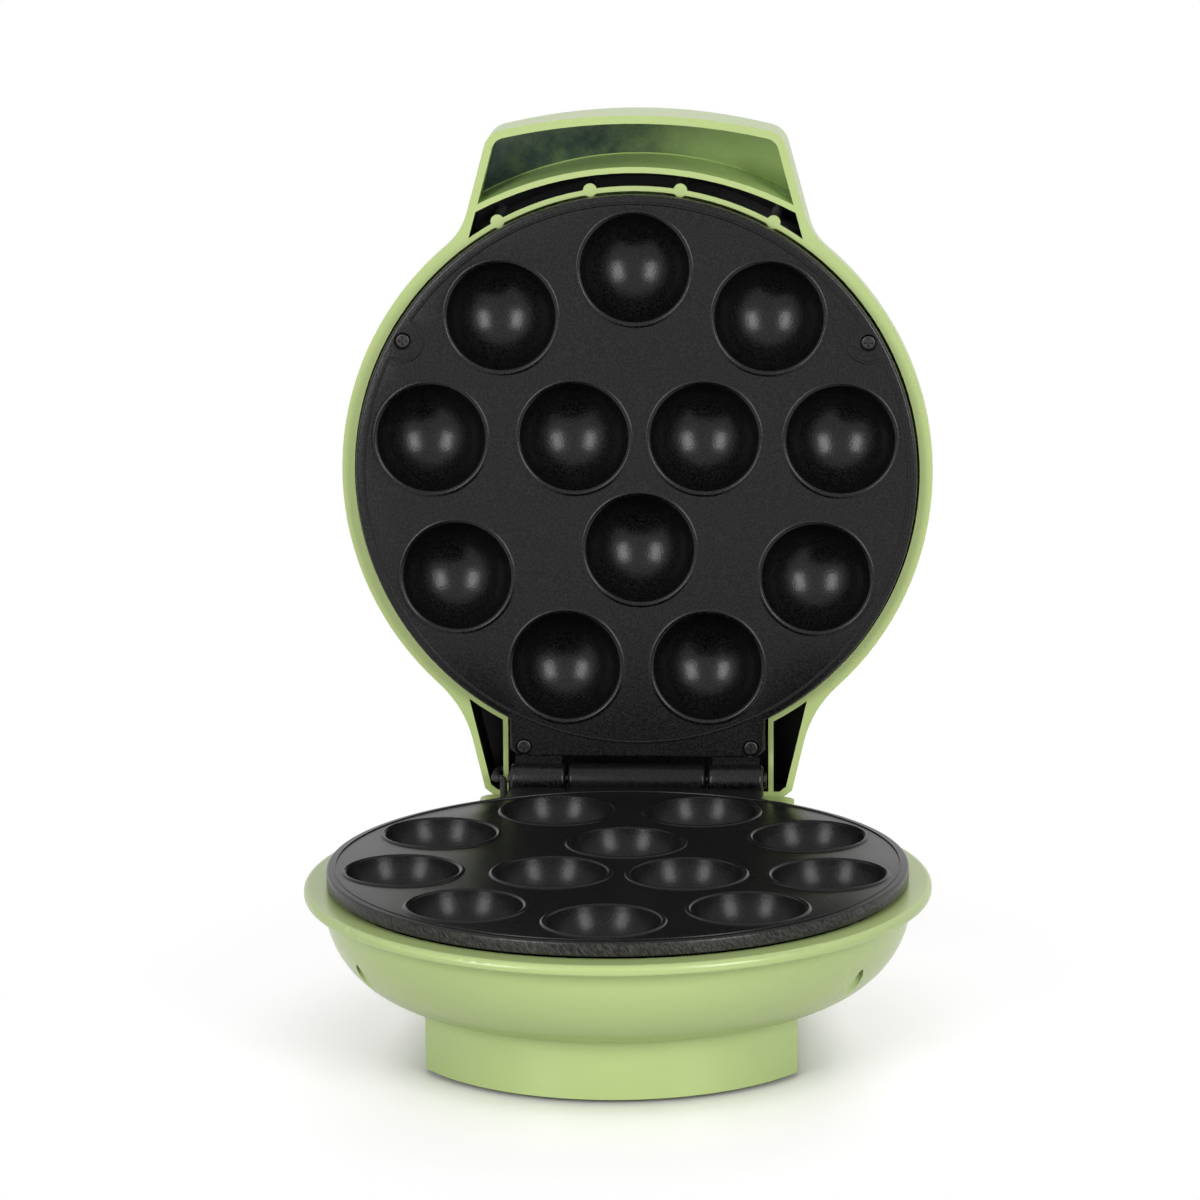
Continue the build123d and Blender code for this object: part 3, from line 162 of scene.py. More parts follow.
# Base housing: one shell of green ABS, injection moulded in a polished tool and left glossy.
# Broad soft reflections, gloss that drifts a little and the finest orange peel.
def dress(names, finish):
    """Gives CAD nodes a finish in place of their plain slot colour."""
    for name in names:
        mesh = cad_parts[name].data
        mesh.materials.clear()
        mesh.materials.append(finish)


def abs_shader(tree, tint, roughness, peel_mm, peel_bump):
    """Moulded ABS: tint is the colour's output; the orange peel has its pitch in millimetres."""
    spot = add(tree, "ShaderNodeTexCoord")
    cloud = add(tree, "ShaderNodeTexNoise", {"Scale": 14, "Detail": 3}, {"Vector": spot.outputs["Object"]})
    gloss = add(tree, "ShaderNodeMapRange", {"To Min": roughness - 0.04, "To Max": roughness + 0.06},
                {"Value": cloud.outputs["Fac"]})
    peel = add(tree, "ShaderNodeTexNoise", {"Scale": 1000 / peel_mm, "Detail": 2},
               {"Vector": spot.outputs["Object"]})
    bump = add(tree, "ShaderNodeBump", {"Strength": peel_bump, "Distance": 0.0001},
               {"Height": peel.outputs["Fac"]})
    shell = add(tree, "ShaderNodeBsdfPrincipled", {"IOR": 1.52},
                {"Base Color": tint, "Roughness": gloss.outputs[0], "Normal": bump.outputs[0]})
    add(tree, "ShaderNodeOutputMaterial", links={0: shell.outputs[0]})


leaf, leaf_shade = "#B4C683", "#ACBF7B"
glossy_abs, tree = material("glossy_moulded_abs")
spot = add(tree, "ShaderNodeTexCoord")
flow = add(tree, "ShaderNodeTexNoise", {"Scale": 9, "Detail": 2},
           {"Vector": spot.outputs["Object"]})
tint = add(tree, "ShaderNodeMix", {"data_type": "RGBA", 6: srgb(leaf_shade), 7: srgb(leaf)},
           {0: flow.outputs["Fac"]})
abs_shader(tree, tint.outputs[2], 0.25, 2.2, 0.05)
dress(["base_housing"], glossy_abs)


# Bottom cover and its feet: the cover is the same ABS from a spark-eroded tool, so it is matt.
# The feet and the cord gland are moulded black rubber with a dull, faintly dusty skin.
matt_abs, tree = material("matt_moulded_abs")
spot = add(tree, "ShaderNodeTexCoord")
flow = add(tree, "ShaderNodeTexNoise", {"Scale": 20, "Detail": 2}, {"Vector": spot.outputs["Object"]})
tint = add(tree, "ShaderNodeMix", {"data_type": "RGBA", 6: srgb("#A3B673"), 7: srgb("#ADC07C")},
           {0: flow.outputs["Fac"]})
abs_shader(tree, tint.outputs[2], 0.52, 0.35, 0.45)
dress(["bottom_cover"], matt_abs)

rubber, tree = material("moulded_rubber")
spot = add(tree, "ShaderNodeTexCoord")
skin = add(tree, "ShaderNodeTexNoise", {"Scale": 1600, "Detail": 3}, {"Vector": spot.outputs["Object"]})
dust = add(tree, "ShaderNodeTexNoise", {"Scale": 160, "Detail": 3}, {"Vector": spot.outputs["Object"]})
tint = add(tree, "ShaderNodeMix", {"data_type": "RGBA", 6: srgb("#1B1B1B"), 7: srgb("#2C2C2B")},
           {0: dust.outputs["Fac"]})
bump = add(tree, "ShaderNodeBump", {"Strength": 0.3, "Distance": 0.0002}, {"Height": skin.outputs["Fac"]})
shell = add(tree, "ShaderNodeBsdfPrincipled", {"Roughness": 0.68, "IOR": 1.52},
            {"Base Color": tint.outputs[2], "Normal": bump.outputs[0]})
add(tree, "ShaderNodeOutputMaterial", links={0: shell.outputs[0]})
dress(["rubber_feet", "cord_gland"], rubber)


# Wiring: a terminal block and lamp holders of off-white polyamide, leads in pale silicone, and
# over them two sleeves of dark glass braid, which meet at the hinge.
def soft_plastic(name, light, dark, roughness, grain_mm):
    """Dull moulded or braided insulation with its grain in millimetres."""
    made, tree = material(name)
    spot = add(tree, "ShaderNodeTexCoord")
    grain = add(tree, "ShaderNodeTexNoise", {"Scale": 1000 / grain_mm, "Detail": 2},
                {"Vector": spot.outputs["Object"]})
    tint = add(tree, "ShaderNodeMix", {"data_type": "RGBA", 6: srgb(dark), 7: srgb(light)},
               {0: grain.outputs["Fac"]})
    bump = add(tree, "ShaderNodeBump", {"Strength": 0.25, "Distance": 0.0002}, {"Height": grain.outputs["Fac"]})
    shell = add(tree, "ShaderNodeBsdfPrincipled", {"Roughness": roughness, "IOR": 1.5},
                {"Base Color": tint.outputs[2], "Normal": bump.outputs[0]})
    add(tree, "ShaderNodeOutputMaterial", links={0: shell.outputs[0]})
    return made


dress(["terminal_block", "lamp_holders"], soft_plastic("moulded_polyamide", "#E4E0D4", "#D2CDBE", 0.5, 0.8))
dress(["base_leads", "lid_leads"], soft_plastic("silicone_lead", "#D8D6CE", "#C2BFB4", 0.6, 0.5))
dress(["lead_sleeve_base", "lead_sleeve_lid"], soft_plastic("black_glass_braid", "#232323", "#0F0F0F", 0.7, 0.6))


# Heating parts: tubular elements with a heat-stained steel sheath, zinc-plated clamps, straps
# and screws, polished aluminium reflectors, and disc thermostats with a phenolic body.
def bare_metal(name, light, dark, roughness, grain_mm, stretch=(1, 1, 1)):
    """Bare metal whose gloss and colour vary along a grain given in millimetres."""
    made, tree = material(name)
    spot = add(tree, "ShaderNodeTexCoord")
    lay = add(tree, "ShaderNodeMapping", {"Scale": stretch}, {"Vector": spot.outputs["Object"]})
    grain = add(tree, "ShaderNodeTexNoise", {"Scale": 1000 / grain_mm, "Detail": 3}, {"Vector": lay.outputs[0]})
    tint = add(tree, "ShaderNodeMix", {"data_type": "RGBA", 6: srgb(dark), 7: srgb(light)},
               {0: grain.outputs["Fac"]})
    gloss = add(tree, "ShaderNodeMapRange", {"To Min": roughness - 0.08, "To Max": roughness + 0.08},
                {"Value": grain.outputs["Fac"]})
    metal = add(tree, "ShaderNodeBsdfPrincipled", {"Metallic": 1.0},
                {"Base Color": tint.outputs[2], "Roughness": gloss.outputs[0]})
    add(tree, "ShaderNodeOutputMaterial", links={0: metal.outputs[0]})
    return made


zinc = bare_metal("zinc_plated_steel", "#C9C9C4", "#A9A9A2", 0.33, 1.1)
dress([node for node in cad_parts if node.endswith(("_strap", "_strap_screw", "_clamps", "_clamp_screws",
      "reflector_screws", "thermostat_screw")) or node in ("bottom_cover_screws", "lower_plate_screws")], zinc)
dress(["lower_heating_element", "upper_heating_element"],
      bare_metal("heat_stained_steel_sheath", "#8C8374", "#5F5A55", 0.42, 3.0))
dress(["lower_reflector", "upper_reflector"],
      bare_metal("rolled_aluminium", "#D6D7D8", "#C4C6C8", 0.2, 0.4, (1, 12, 1)))
dress(["lower_thermostat", "upper_thermostat", "thermal_fuse"],
      soft_plastic("phenolic_moulding", "#4A2C1E", "#38211A", 0.45, 0.9))


# Cooking plates: die-cast aluminium, both from one pattern, with twelve round cups whose
# mouths have a raised bead. Blasted and sprayed with a black non-stick coating.
def turned(name, profile, count, closed=False):
    """Mesh turned about Z from radii and heights in millimetres; a point on the axis is a pole."""
    form = bmesh.new()
    rings = []
    for radius, height in profile:
        turns = count if radius > 1e-6 else 1
        rings.append([form.verts.new((radius / 1000 * cos(2 * pi * j / count),
                                      radius / 1000 * sin(2 * pi * j / count), height / 1000))
                      for j in range(turns)])
    following = rings[1:] + (rings[:1] if closed else [])
    for low, high in zip(rings, following):
        for j in range(count):
            k = (j + 1) % count
            corners = [low[j % len(low)], low[k % len(low)], high[k % len(high)], high[j % len(high)]]
            corners = list(dict.fromkeys(corners))
            if len(corners) > 2:
                form.faces.new(corners)
    bmesh.ops.recalc_face_normals(form, faces=form.faces)
    mesh = bpy.data.meshes.new(name)
    form.to_mesh(mesh)
    form.free()
    return bpy.data.objects.new(name, mesh)


def cup_profile(mouth=19.25, depth=17.5, wall=2.2, rim=2.0, rise=0.6, floor_low=3.0):
    """Outline of one cup from under its bottom, up the inside, over its bead."""
    lift = (mouth**2 + depth**2) / (2 * depth) - depth
    ball = depth + lift
    inner_turn = pi / 2 - asin(lift / ball)
    outer_turn = acos((lift + floor_low) / (ball + wall))
    under = [((ball + wall) * sin(outer_turn * i / 10), lift - (ball + wall) * cos(outer_turn * i / 10))
             for i in range(11)]
    inside = [(ball * sin(inner_turn * i / 18), lift - ball * cos(inner_turn * i / 18)) for i in range(19)]
    bead = [(mouth + rim * i / 6, rise * sin(pi * i / 6)) for i in range(1, 7)]
    return under[::-1] + inside + bead, under[-1][0]


def plate_outline(inset, radius=99.5, half=45.5, end=102.4, corner=3.0):
    """The disc with its hinge tab, seen from above and drawn in by inset."""
    radius, half, end = radius - inset, half - inset, end - inset
    corner -= 0.586 * inset
    start = acos(half / radius)
    arc = [(radius * cos(start - (pi + 2 * start) * i / 240), radius * sin(start - (pi + 2 * start) * i / 240))
           for i in range(241)]
    return arc + [(-half, end - corner), (corner - half, end), (half - corner, end), (half, end - corner)]


def plate_skirt():
    """The plate's edge as one loop of faces, from inside its skirt over the edge to the top."""
    steps = [(2.5, -3), (2.5, -4.6), (2.1, -5), (0.4, -5), (0, -4.6), (0, -1), (0.13, -0.5), (0.5, -0.13), (1, 0)]
    rings = [[(x / 1000, y / 1000, z / 1000) for x, y in plate_outline(inset)] for inset, z in steps]
    count = len(rings[0])
    faces = [(i * count + j, i * count + (j + 1) % count, (i + 1) * count + (j + 1) % count, (i + 1) * count + j)
             for i in range(len(rings) - 1) for j in range(count)]
    mesh = bpy.data.meshes.new("plate_skirt")
    mesh.from_pydata([spot for ring in rings for spot in ring], [], faces)
    return mesh


def bead_line(screws, ring=96.6, pad=7.2):
    """Line of the bead near the plate's edge, led inwards round each screw."""
    line = []
    for i in range(720):
        angle = radians(i / 2)
        spot = Vector((ring * cos(angle), ring * sin(angle), 0))
        for screw in screws:
            middle = Vector((*screw, 0))
            if (spot - middle).length < pad:
                spot = None
                break
        if spot:
            line.append(spot)
            continue
        across = Vector((-sin(angle), cos(angle), 0))
        inwards = -Vector((cos(angle), sin(angle), 0))
        offset = (Vector((ring * cos(angle), ring * sin(angle), 0)) - middle).dot(across)
        line.append(middle + across * offset + inwards * sqrt(max(pad**2 - offset**2, 0)))
    return line


def loose_points(name, places, close=False):
    """Vertices at places in millimetres, joined in a closed line if close."""
    mesh = bpy.data.meshes.new(name)
    count = len(places)
    edges = [(i, (i + 1) % count) for i in range(count)] if close else []
    mesh.from_pydata([tuple(c / 1000 for c in (*spot, 0)[:3]) for spot in places], edges, [])
    return bpy.data.objects.new(name, mesh)


profile, neck = cup_profile()
cup = turned("cup", profile, 96)
screw_sink = turned("screw_sink", [(3.1, 0), (3.1, -2.4), (0, -2.4)], 32)
element_rail = turned("element_rail", [(47.15, -2.9), (47.15, -8.2), (47.9, -8.2), (49, -7.2), (50.75, -6.7),
                                       (52.5, -7.2), (53.6, -8.2), (54.35, -8.2), (54.35, -2.9)], 120, True)

cups = bpy.data.node_groups.new("cups_in_plate", "GeometryNodeTree")
cups.interface.new_socket("Geometry", in_out="OUTPUT", socket_type="NodeSocketGeometry")
inputs = {"Skirt": "Geometry", "Cup": "Object", "Outer cups": "Int", "Outer ring": "Float", "Inner cups": "Int",
          "Inner ring": "Float", "Inner shift": "Vector", "Collar": "Float", "Neck": "Float", "Floor": "Vector",
          "Screws": "Object", "Screw sink": "Object", "Sink radius": "Float", "Bead line": "Object",
          "Bead radius": "Float", "Under": "Object", "Coating": "Material"}
sockets = {name: cups.interface.new_socket(name, in_out="INPUT", socket_type="NodeSocket" + kind)
           for name, kind in inputs.items()}
given = add(cups, "NodeGroupInput")
outer = add(cups, "GeometryNodeMeshCircle", links={"Vertices": given.outputs["Outer cups"],
                                                   "Radius": given.outputs["Outer ring"]})
outer = add(cups, "GeometryNodeTransform", {"Rotation": (0, 0, -pi / 2)}, {0: outer.outputs[0]})
inner = add(cups, "GeometryNodeMeshCircle", links={"Vertices": given.outputs["Inner cups"],
                                                   "Radius": given.outputs["Inner ring"]})
inner = add(cups, "GeometryNodeTransform", {"Rotation": (0, 0, pi / 2)},
            {0: inner.outputs[0], "Translation": given.outputs["Inner shift"]})
centres = add(cups, "GeometryNodeJoinGeometry")
cups.links.new(centres.inputs[0], outer.outputs[0])
cups.links.new(centres.inputs[0], inner.outputs[0])
shape = add(cups, "GeometryNodeObjectInfo", links={"Object": given.outputs["Cup"]})
all_cups = add(cups, "GeometryNodeInstanceOnPoints",
               links={"Points": centres.outputs[0], "Instance": shape.outputs["Geometry"]})
screws = add(cups, "GeometryNodeObjectInfo", links={"Object": given.outputs["Screws"]})
shape = add(cups, "GeometryNodeObjectInfo", links={"Object": given.outputs["Screw sink"]})
sinks = add(cups, "GeometryNodeInstanceOnPoints",
            links={"Points": screws.outputs["Geometry"], "Instance": shape.outputs["Geometry"]})
sheets = []
for radius, low, high, with_screws in (("Collar", -0.0001, 1.0, True), ("Neck", -0.0031, -0.0029, False)):
    # A flat sheet between the skirt's open edge at this height and the holes for the cups.
    ring = add(cups, "GeometryNodeCurvePrimitiveCircle", {"Resolution": 96}, {"Radius": given.outputs[radius]})
    holes = add(cups, "GeometryNodeInstanceOnPoints", links={"Points": centres.outputs[0], "Instance": ring.outputs[0]})
    holes = add(cups, "GeometryNodeRealizeInstances", links={0: holes.outputs[0]})
    level = add(cups, "GeometryNodeInputPosition")
    level = add(cups, "ShaderNodeSeparateXYZ", links={0: level.outputs[0]})
    above = add(cups, "FunctionNodeCompare", {"operation": "GREATER_THAN", "B": low}, {"A": level.outputs[2]})
    below = add(cups, "FunctionNodeCompare", {"operation": "LESS_THAN", "B": high}, {"A": level.outputs[2]})
    neighbours = add(cups, "GeometryNodeInputMeshEdgeNeighbors")
    single = add(cups, "FunctionNodeCompare", {"data_type": "INT", "operation": "EQUAL", 3: 1},
                 {2: neighbours.outputs[0]})
    at_level = add(cups, "FunctionNodeBooleanMath", links={0: above.outputs[0], 1: below.outputs[0]})
    open_edge = add(cups, "FunctionNodeBooleanMath", links={0: at_level.outputs[0], 1: single.outputs[0]})
    edge = add(cups, "GeometryNodeMeshToCurve", links={"Mesh": given.outputs[0], "Selection": open_edge.outputs[0]})
    outlines = add(cups, "GeometryNodeJoinGeometry")
    cups.links.new(outlines.inputs[0], edge.outputs[0])
    cups.links.new(outlines.inputs[0], holes.outputs[0])
    if with_screws:
        ring = add(cups, "GeometryNodeCurvePrimitiveCircle", {"Resolution": 32},
                   {"Radius": given.outputs["Sink radius"]})
        holes = add(cups, "GeometryNodeInstanceOnPoints",
                    links={"Points": screws.outputs["Geometry"], "Instance": ring.outputs[0]})
        holes = add(cups, "GeometryNodeRealizeInstances", links={0: holes.outputs[0]})
        cups.links.new(outlines.inputs[0], holes.outputs[0])
    sheets.append(add(cups, "GeometryNodeFillCurve", links={0: outlines.outputs[0]}))
lower_sheet = add(cups, "GeometryNodeTransform", links={0: sheets[1].outputs[0], "Translation": given.outputs["Floor"]})
lower_sheet = add(cups, "GeometryNodeFlipFaces", links={0: lower_sheet.outputs[0]})
line = add(cups, "GeometryNodeObjectInfo", links={"Object": given.outputs["Bead line"]})
line = add(cups, "GeometryNodeMeshToCurve", links={0: line.outputs["Geometry"]})
round_bar = add(cups, "GeometryNodeCurvePrimitiveCircle", {"Resolution": 10}, {"Radius": given.outputs["Bead radius"]})
bead = add(cups, "GeometryNodeCurveToMesh", links={"Curve": line.outputs[0], "Profile Curve": round_bar.outputs[0]})
under = add(cups, "GeometryNodeObjectInfo", links={"Object": given.outputs["Under"]})
whole = add(cups, "GeometryNodeJoinGeometry")
for part in (given.outputs[0], sheets[0].outputs[0], lower_sheet.outputs[0], all_cups.outputs[0], sinks.outputs[0],
             bead.outputs[0], under.outputs["Geometry"]):
    cups.links.new(whole.inputs[0], part)
real = add(cups, "GeometryNodeRealizeInstances", links={0: whole.outputs[0]})
weld = add(cups, "GeometryNodeMergeByDistance", {"Distance": 0.00002}, {0: real.outputs[0]})
coated = add(cups, "GeometryNodeSetMaterial", links={0: weld.outputs[0], "Material": given.outputs["Coating"]})
add(cups, "NodeGroupOutput", links={0: coated.outputs[0]})


def grown(name, base, tree, names, values):
    """The plain mesh that a geometry node tree makes on a base mesh with named inputs."""
    blank = bpy.data.objects.new(name, base)
    bpy.context.scene.collection.objects.link(blank)
    grow = blank.modifiers.new("grow", "NODES")
    grow.node_group = tree
    for key, value in values.items():
        grow[names[key].identifier] = value
    bpy.context.view_layer.update()
    result = bpy.data.meshes.new_from_object(blank.evaluated_get(bpy.context.evaluated_depsgraph_get()))
    bpy.data.objects.remove(blank)
    form = bmesh.new()
    form.from_mesh(result)
    bmesh.ops.recalc_face_normals(form, faces=form.faces)
    form.to_mesh(result)
    form.free()
    result.set_sharp_from_angle(angle=radians(34))
    result.name = name
    return result


def barrel(left, right, radius=5.6, bore=1.65, rounding=1.4):
    """Hinge knuckle along X with round ends, its bore and the neck that joins it to the tab."""
    ends = [(radius - rounding + rounding * sin(pi / 2 * i / 5), rounding - rounding * cos(pi / 2 * i / 5))
            for i in range(6)]
    length = right - left
    profile = [(bore, 0)] + ends + [(r, length - h) for r, h in ends[::-1]] + [(bore, length)]
    knuckle = turned("knuckle", profile, 48, True)
    lie = Matrix.Translation((left / 1000, 0.110, 0.001)) @ Matrix.Rotation(pi / 2, 4, "Y")
    knuckle.data.transform(lie)
    form = bmesh.new()
    form.from_mesh(knuckle.data)
    neck = bmesh.ops.create_cube(form, size=1)
    size = Vector((length - 2 * rounding, 8.2, 4.4)) / 1000
    spot = Vector(((left + right) / 2, 106.1, -2.4)) / 1000
    bmesh.ops.transform(form, matrix=Matrix.Translation(spot) @ Matrix.Diagonal((*size, 1)), verts=neck["verts"])
    form.to_mesh(knuckle.data)
    form.free()
    return knuckle.data


def joined(name, meshes, matrix, finish):
    """One mesh of several in one finish, placed in the frame."""
    form = bmesh.new()
    for mesh in meshes:
        form.from_mesh(mesh)
    bmesh.ops.transform(form, matrix=matrix, verts=form.verts)
    if matrix.determinant() < 0:
        bmesh.ops.reverse_faces(form, faces=form.faces)
    whole = bpy.data.meshes.new(name)
    form.to_mesh(whole)
    form.free()
    for face in whole.polygons:
        face.material_index = 0
    whole.materials.append(finish)
    whole.set_sharp_from_angle(angle=radians(34))
    made = bpy.data.objects.new(name, whole)
    bpy.context.scene.collection.objects.link(made)
    return made


def coating(name, colours, roughness, gloss, grain, frame_to_plate):
    """Sprayed coating: a fine blasted grain, and a painted highlight on the plate's rounded rim, lighter grey in
    diagonal streaks.
    """
    made, tree = material(name)
    spot = add(tree, "ShaderNodeTexCoord")
    local = add(tree, "ShaderNodeMapping", {"Location": frame_to_plate.to_translation(),
                                            "Rotation": frame_to_plate.to_euler()},
                {"Vector": spot.outputs["Object"]})
    fine = add(tree, "ShaderNodeTexNoise", {"Scale": 1450, "Detail": 2}, {"Vector": spot.outputs["Object"]})
    coarse = add(tree, "ShaderNodeTexNoise", {"Scale": 620, "Detail": 2}, {"Vector": spot.outputs["Object"]})
    drift = add(tree, "ShaderNodeTexNoise", {"Scale": 30, "Detail": 2}, {"Vector": spot.outputs["Object"]})
    grit = add(tree, "ShaderNodeMapRange", {"From Min": 0.4, "From Max": 0.64}, {"Value": fine.outputs["Fac"]})
    tint = add(tree, "ShaderNodeMix", {"data_type": "RGBA", 6: srgb(colours[0]), 7: srgb(colours[1])},
               {0: grit.outputs[0]})
    flat = add(tree, "ShaderNodeVectorMath", {"operation": "MULTIPLY", 1: (1, 1, 0)}, {0: local.outputs[0]})
    out = add(tree, "ShaderNodeVectorMath", {"operation": "LENGTH"}, {0: flat.outputs[0]})
    # Painted highlight: the rim's rounded edge is tinted lighter grey in streaks, away from the hinge tab.
    on_rim = add(tree, "ShaderNodeMapRange", {"From Min": 0.0991, "From Max": 0.0994}, {"Value": out.outputs["Value"]})
    part = add(tree, "ShaderNodeSeparateXYZ", links={0: local.outputs[0]})
    off_tab = add(tree, "ShaderNodeMapRange", {"From Min": 0.0885, "From Max": 0.0875}, {"Value": part.outputs[1]})
    on_rim = add(tree, "ShaderNodeMath", {"operation": "MULTIPLY"}, {0: on_rim.outputs[0], 1: off_tab.outputs[0]})
    lay = add(tree, "ShaderNodeMapping", {"vector_type": "TEXTURE", "Rotation": (0, 0.9, 0), "Scale": (1, 1, 0.16)},
              {"Vector": local.outputs[0]})
    edge_highlight_streaks = add(tree, "ShaderNodeTexNoise", {"Scale": 420, "Detail": 4, "Roughness": 0.7}, {"Vector": lay.outputs[0]})
    edge_highlight_streaked = add(tree, "ShaderNodeMapRange", {"From Min": 0.42, "From Max": 0.68}, {"Value": edge_highlight_streaks.outputs["Fac"]})
    painted_edge_highlight = add(tree, "ShaderNodeMath", {"operation": "MULTIPLY"}, {0: on_rim.outputs[0], 1: edge_highlight_streaked.outputs[0]})
    rim = add(tree, "ShaderNodeMix", {"data_type": "RGBA", 7: srgb("#4A4A44")},
              {0: painted_edge_highlight.outputs[0], 6: tint.outputs[2]})
    height = add(tree, "ShaderNodeMath", {"operation": "ADD"}, {0: fine.outputs["Fac"], 1: coarse.outputs["Fac"]})
    bump = add(tree, "ShaderNodeBump", {"Strength": grain, "Distance": 0.0002}, {"Height": height.outputs[0]})
    dull = add(tree, "ShaderNodeMapRange", {"To Min": roughness - 0.03, "To Max": roughness + 0.03},
               {"Value": drift.outputs["Fac"]})
    coat = add(tree, "ShaderNodeBsdfPrincipled", {"IOR": 1.46, "Specular IOR Level": gloss},
               {"Base Color": rim.outputs[2], "Roughness": dull.outputs[0], "Normal": bump.outputs[0]})
    add(tree, "ShaderNodeOutputMaterial", links={0: coat.outputs[0]})
    return made


side_screw = (94.97 * cos(radians(-29.94)), 94.97 * sin(radians(-29.94)))
side_screws = [side_screw, (-side_screw[0], side_screw[1])]
tab_screws = [(40.5, 98.8), (-40.5, 98.8)]
sizes = {"Cup": cup, "Outer cups": 9, "Outer ring": 0.0736, "Inner cups": 3, "Inner ring": 0.02664,
         "Inner shift": (0.0013, 0, 0), "Collar": 0.02125, "Neck": neck / 1000, "Floor": (0, 0, -0.003),
         "Screw sink": screw_sink, "Sink radius": 0.0031, "Bead radius": 0.00055, "Under": element_rail}
shut_to_open = (Matrix.Translation((0, 0.110 + plate_y, 0.064)) @ Matrix.Rotation(radians(-92.4), 4, "X")
                @ Matrix.Translation((0, -0.110, 0.001)))
turn_over = Matrix.Diagonal((1, 1, -1, 1))

lower_coat = coating("glossy_nonstick_coating", ("#060606", "#181818"), 0.28, 0.24, 0.15,
                     Matrix.Translation((0, -plate_y, -0.063)))
upper_coat = coating("satin_nonstick_coating", ("#020202", "#191919"), 0.26, 0.32, 0.2,
                     shut_to_open.inverted())
lower = grown("lower_plate_casting", plate_skirt(), cups, sockets,
              {**sizes, "Screws": loose_points("no_screws", []), "Coating": lower_coat, "Bead radius": 0.00035,
               "Bead line": loose_points("lower_bead", bead_line([]), True)})
lower = joined("lower_cooking_plate", [lower, barrel(-24.5, 24.5)], Matrix.Translation((0, plate_y, 0.063)), lower_coat)
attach(lower, "base")
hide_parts("lower_plate")

upper = grown("upper_plate_casting", plate_skirt(), cups, sockets,
              {**sizes, "Screws": loose_points("upper_screws", side_screws + tab_screws), "Coating": upper_coat,
               "Bead line": loose_points("upper_bead", bead_line(side_screws), True)})
upper = joined("upper_cooking_plate", [upper, barrel(-45, -25.5), barrel(25.5, 45)], shut_to_open @ turn_over,
               upper_coat)
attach(upper, "lid")
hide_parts("upper_plate")


# Fasteners that show: the upper plate's four cross-head screws and the hinge's pin and clip,
# all of steel blackened by hot oxide, with the gloss of light oil on it.
black_oxide = bare_metal("black_oxide_steel", "#4A4A4A", "#2C2C2C", 0.38, 0.8)
dress(["upper_plate_screws", "hinge_pin", "hinge_pin_clip"], black_oxide)


# Lid housing: the same green ABS. The deep finger recess of the handle is left spark-eroded and
# carries painted shade, darker the deeper it is, and the slot behind it and the pockets at the hinge are painted
# near-black as shade.
# The masks are laid out in millimetres on the shut lid, face down, with the hinge at y = 110.
def all_of(tree, *masks):
    """The product of masks between 0 and 1."""
    product = masks[0]
    for mask in masks[1:]:
        product = add(tree, "ShaderNodeMath", {"operation": "MULTIPLY"}, {0: product, 1: mask}).outputs[0]
    return product


lid_abs, tree = material("lid_moulded_abs")
hinge_open = Vector((0, 110 + plate_y * 1000, 64))
hinge_shut = Vector((0, 110, -1))
shift = hinge_shut - Matrix.Rotation(radians(92.4), 3, "X") @ hinge_open
spot = add(tree, "ShaderNodeTexCoord")
shut = add(tree, "ShaderNodeMapping", {"Location": shift, "Rotation": (radians(92.4), 0, 0),
                                       "Scale": (1000, 1000, 1000)}, {"Vector": spot.outputs["Object"]})
flat = add(tree, "ShaderNodeVectorMath", {"operation": "MULTIPLY", 1: (1, 1, 0)}, {0: shut.outputs[0]})
part = add(tree, "ShaderNodeSeparateXYZ", links={0: shut.outputs[0]})
rightwards, backwards, depth = part.outputs
across = add(tree, "ShaderNodeMath", {"operation": "ABSOLUTE"}, {0: rightwards}).outputs[0]
# Distances from the middles that the lid's arcs and domes are drawn from.
middles = {"plate": (flat, (0, 0, 0)), "grip": (flat, (0, 14.15, 0)), "handle_front": (flat, (0, 88, 0)),
           "handle_top": (shut, (0, -80, -192)), "ear_top": (shut, (0, 95, -191))}
away = {name: add(tree, "ShaderNodeVectorMath", {"operation": "DISTANCE", 1: middle},
                  {0: source.outputs[0]}).outputs["Value"] for name, (source, middle) in middles.items()}
# Measures that grow outwards along a sloping wall: by how much it leans, along what, from what.
leaning = {"handle_side": (-0.2679, backwards, across), "ear_side": (0.2409, backwards, across),
           "grip_wall": (-0.0524, depth, away["grip"])}
along = {name: add(tree, "ShaderNodeMath", {"operation": "MULTIPLY_ADD", 1: lean}, {0: run, 2: start}).outputs[0]
         for name, (lean, run, start) in leaning.items()}
limits = {"in_handle_sides": (along["handle_side"], "LESS_THAN", 82.7),
          "in_handle_front": (away["handle_front"], "LESS_THAN", 213.5),
          "under_handle_top": (away["handle_top"], "LESS_THAN", 228.5),
          "at_handle": (backwards, "LESS_THAN", -60.0),
          "past_grip": (away["grip"], "GREATER_THAN", 121.9),
          "before_grip": (away["grip"], "LESS_THAN", 121.9),
          "off_grip_wall": (along["grip_wall"], "GREATER_THAN", 122.95),
          "off_plate": (away["plate"], "GREATER_THAN", 101.9),
          "in_ear_sides": (along["ear_side"], "LESS_THAN", 81.4),
          "under_ear_top": (away["ear_top"], "LESS_THAN", 228.7),
          "in_ear_end": (backwards, "LESS_THAN", 116.8),
          "at_hinge": (backwards, "GREATER_THAN", 60.0)}
where = {name: add(tree, "ShaderNodeMath", {"operation": test, 1: limit}, {0: value}).outputs[0]
         for name, (value, test, limit) in limits.items()}
in_handle = all_of(tree, where["in_handle_sides"], where["under_handle_top"], where["at_handle"])
below_rim = add(tree, "ShaderNodeMapRange", {"interpolation_type": "SMOOTHSTEP", "From Min": 5.6, "From Max": 7.5},
                {"Value": depth})
recess = all_of(tree, in_handle, where["past_grip"], where["in_handle_front"], below_rim.outputs[0])
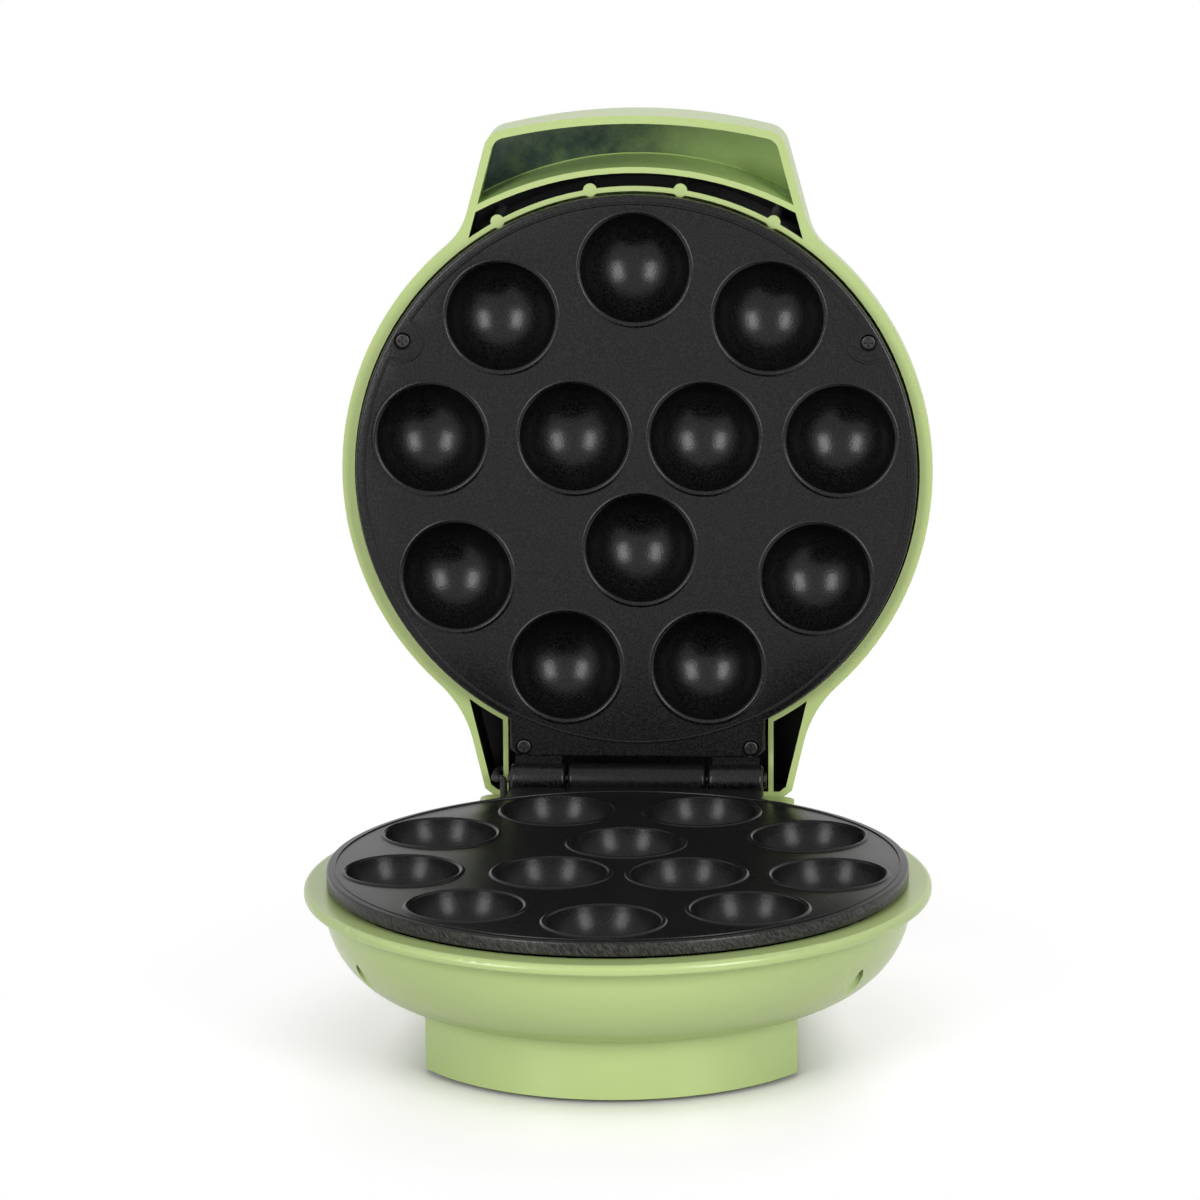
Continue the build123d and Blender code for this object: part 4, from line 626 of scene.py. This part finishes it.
# Painted shade in the recess: a slightly darker green all over, much darker the deeper it is, mottled, and lighter
# towards the right-hand end.
deeper = add(tree, "ShaderNodeMapRange", {"interpolation_type": "SMOOTHSTEP", "From Min": 9, "From Max": 21},
             {"Value": depth})
mottle = add(tree, "ShaderNodeTexNoise", {"Scale": 0.09, "Detail": 5, "Roughness": 0.62}, {"Vector": shut.outputs[0]})
speckle = add(tree, "ShaderNodeTexNoise", {"Scale": 1.4, "Detail": 3}, {"Vector": shut.outputs[0]})
shade_fade_rightwards = add(tree, "ShaderNodeMapRange", {"interpolation_type": "SMOOTHSTEP", "From Min": -14, "From Max": 46,
                                        "To Min": 1.0, "To Max": 0.25}, {"Value": rightwards})
patch = add(tree, "ShaderNodeMapRange", {"From Min": 0.3, "From Max": 0.6, "To Min": 0.8, "To Max": 1.0},
            {"Value": mottle.outputs["Fac"]})
dark = all_of(tree, deeper.outputs[0], shade_fade_rightwards.outputs[0], patch.outputs[0], where["off_grip_wall"])
flow = add(tree, "ShaderNodeTexNoise", {"Scale": 9, "Detail": 2}, {"Vector": spot.outputs["Object"]})
skin = add(tree, "ShaderNodeMix", {"data_type": "RGBA", 6: srgb(leaf_shade), 7: srgb(leaf)}, {0: flow.outputs["Fac"]})
# Painted shade colours for the deep parts of the recess, speckled.
painted_shade_colours = add(tree, "ShaderNodeMix", {"data_type": "RGBA", 6: srgb("#0E1714"), 7: srgb("#2A4640")},
             {0: speckle.outputs["Fac"]})
shaded_lining = add(tree, "ShaderNodeMix", {"data_type": "RGBA", 6: srgb("#A3BE70")}, {0: dark, 7: painted_shade_colours.outputs[2]})
tint = add(tree, "ShaderNodeMix", {"data_type": "RGBA"}, {0: recess, 6: skin.outputs[2], 7: shaded_lining.outputs[2]})
# The slot between the recess and the rim's thin wall, and the two pockets beside the hinge, painted near-black as
# shade.
slot = all_of(tree, where["before_grip"], in_handle, where["off_plate"])
pocket = all_of(tree, *(where[name] for name in ("in_ear_sides", "under_ear_top", "in_ear_end", "at_hinge",
                                                 "off_plate")))
either = add(tree, "ShaderNodeMath", {"operation": "MAXIMUM"}, {0: slot, 1: pocket})
below_rim = add(tree, "ShaderNodeMapRange", {"From Min": 5.6, "From Max": 6.6}, {"Value": depth})
painted_hollow_shade = all_of(tree, either.outputs[0], below_rim.outputs[0])
tint = add(tree, "ShaderNodeMix", {"data_type": "RGBA", 7: srgb("#0B0E0B")}, {0: painted_hollow_shade, 6: tint.outputs[2]})
abs_shader(tree, tint.outputs[2], 0.25, 2.2, 0.05)
dress(["lid_housing"], lid_abs)


# Lamp lenses: clear polycarbonate caps, tinted through, red for power and green for ready,
# moulded with fine ripples inside that break up the lamp behind.
for node, colour in (("power_lamp_lens", "#E5352A"), ("ready_lamp_lens", "#43C455")):
    lens, tree = material(node + "_polycarbonate")
    spot = add(tree, "ShaderNodeTexCoord")
    ripple = add(tree, "ShaderNodeTexVoronoi", {"Scale": 900}, {"Vector": spot.outputs["Object"]})
    cloud = add(tree, "ShaderNodeTexNoise", {"Scale": 300, "Detail": 1}, {"Vector": spot.outputs["Object"]})
    gloss = add(tree, "ShaderNodeMapRange", {"To Min": 0.04, "To Max": 0.12}, {"Value": cloud.outputs["Fac"]})
    bump = add(tree, "ShaderNodeBump", {"Strength": 0.15, "Distance": 0.0002}, {"Height": ripple.outputs["Distance"]})
    clear = add(tree, "ShaderNodeBsdfPrincipled", {"Base Color": srgb(colour), "IOR": 1.585, "Transmission Weight": 0.3},
                {"Roughness": gloss.outputs[0], "Normal": bump.outputs[0]})
    add(tree, "ShaderNodeOutputMaterial", links={0: clear.outputs[0]})
    dress([node], lens)
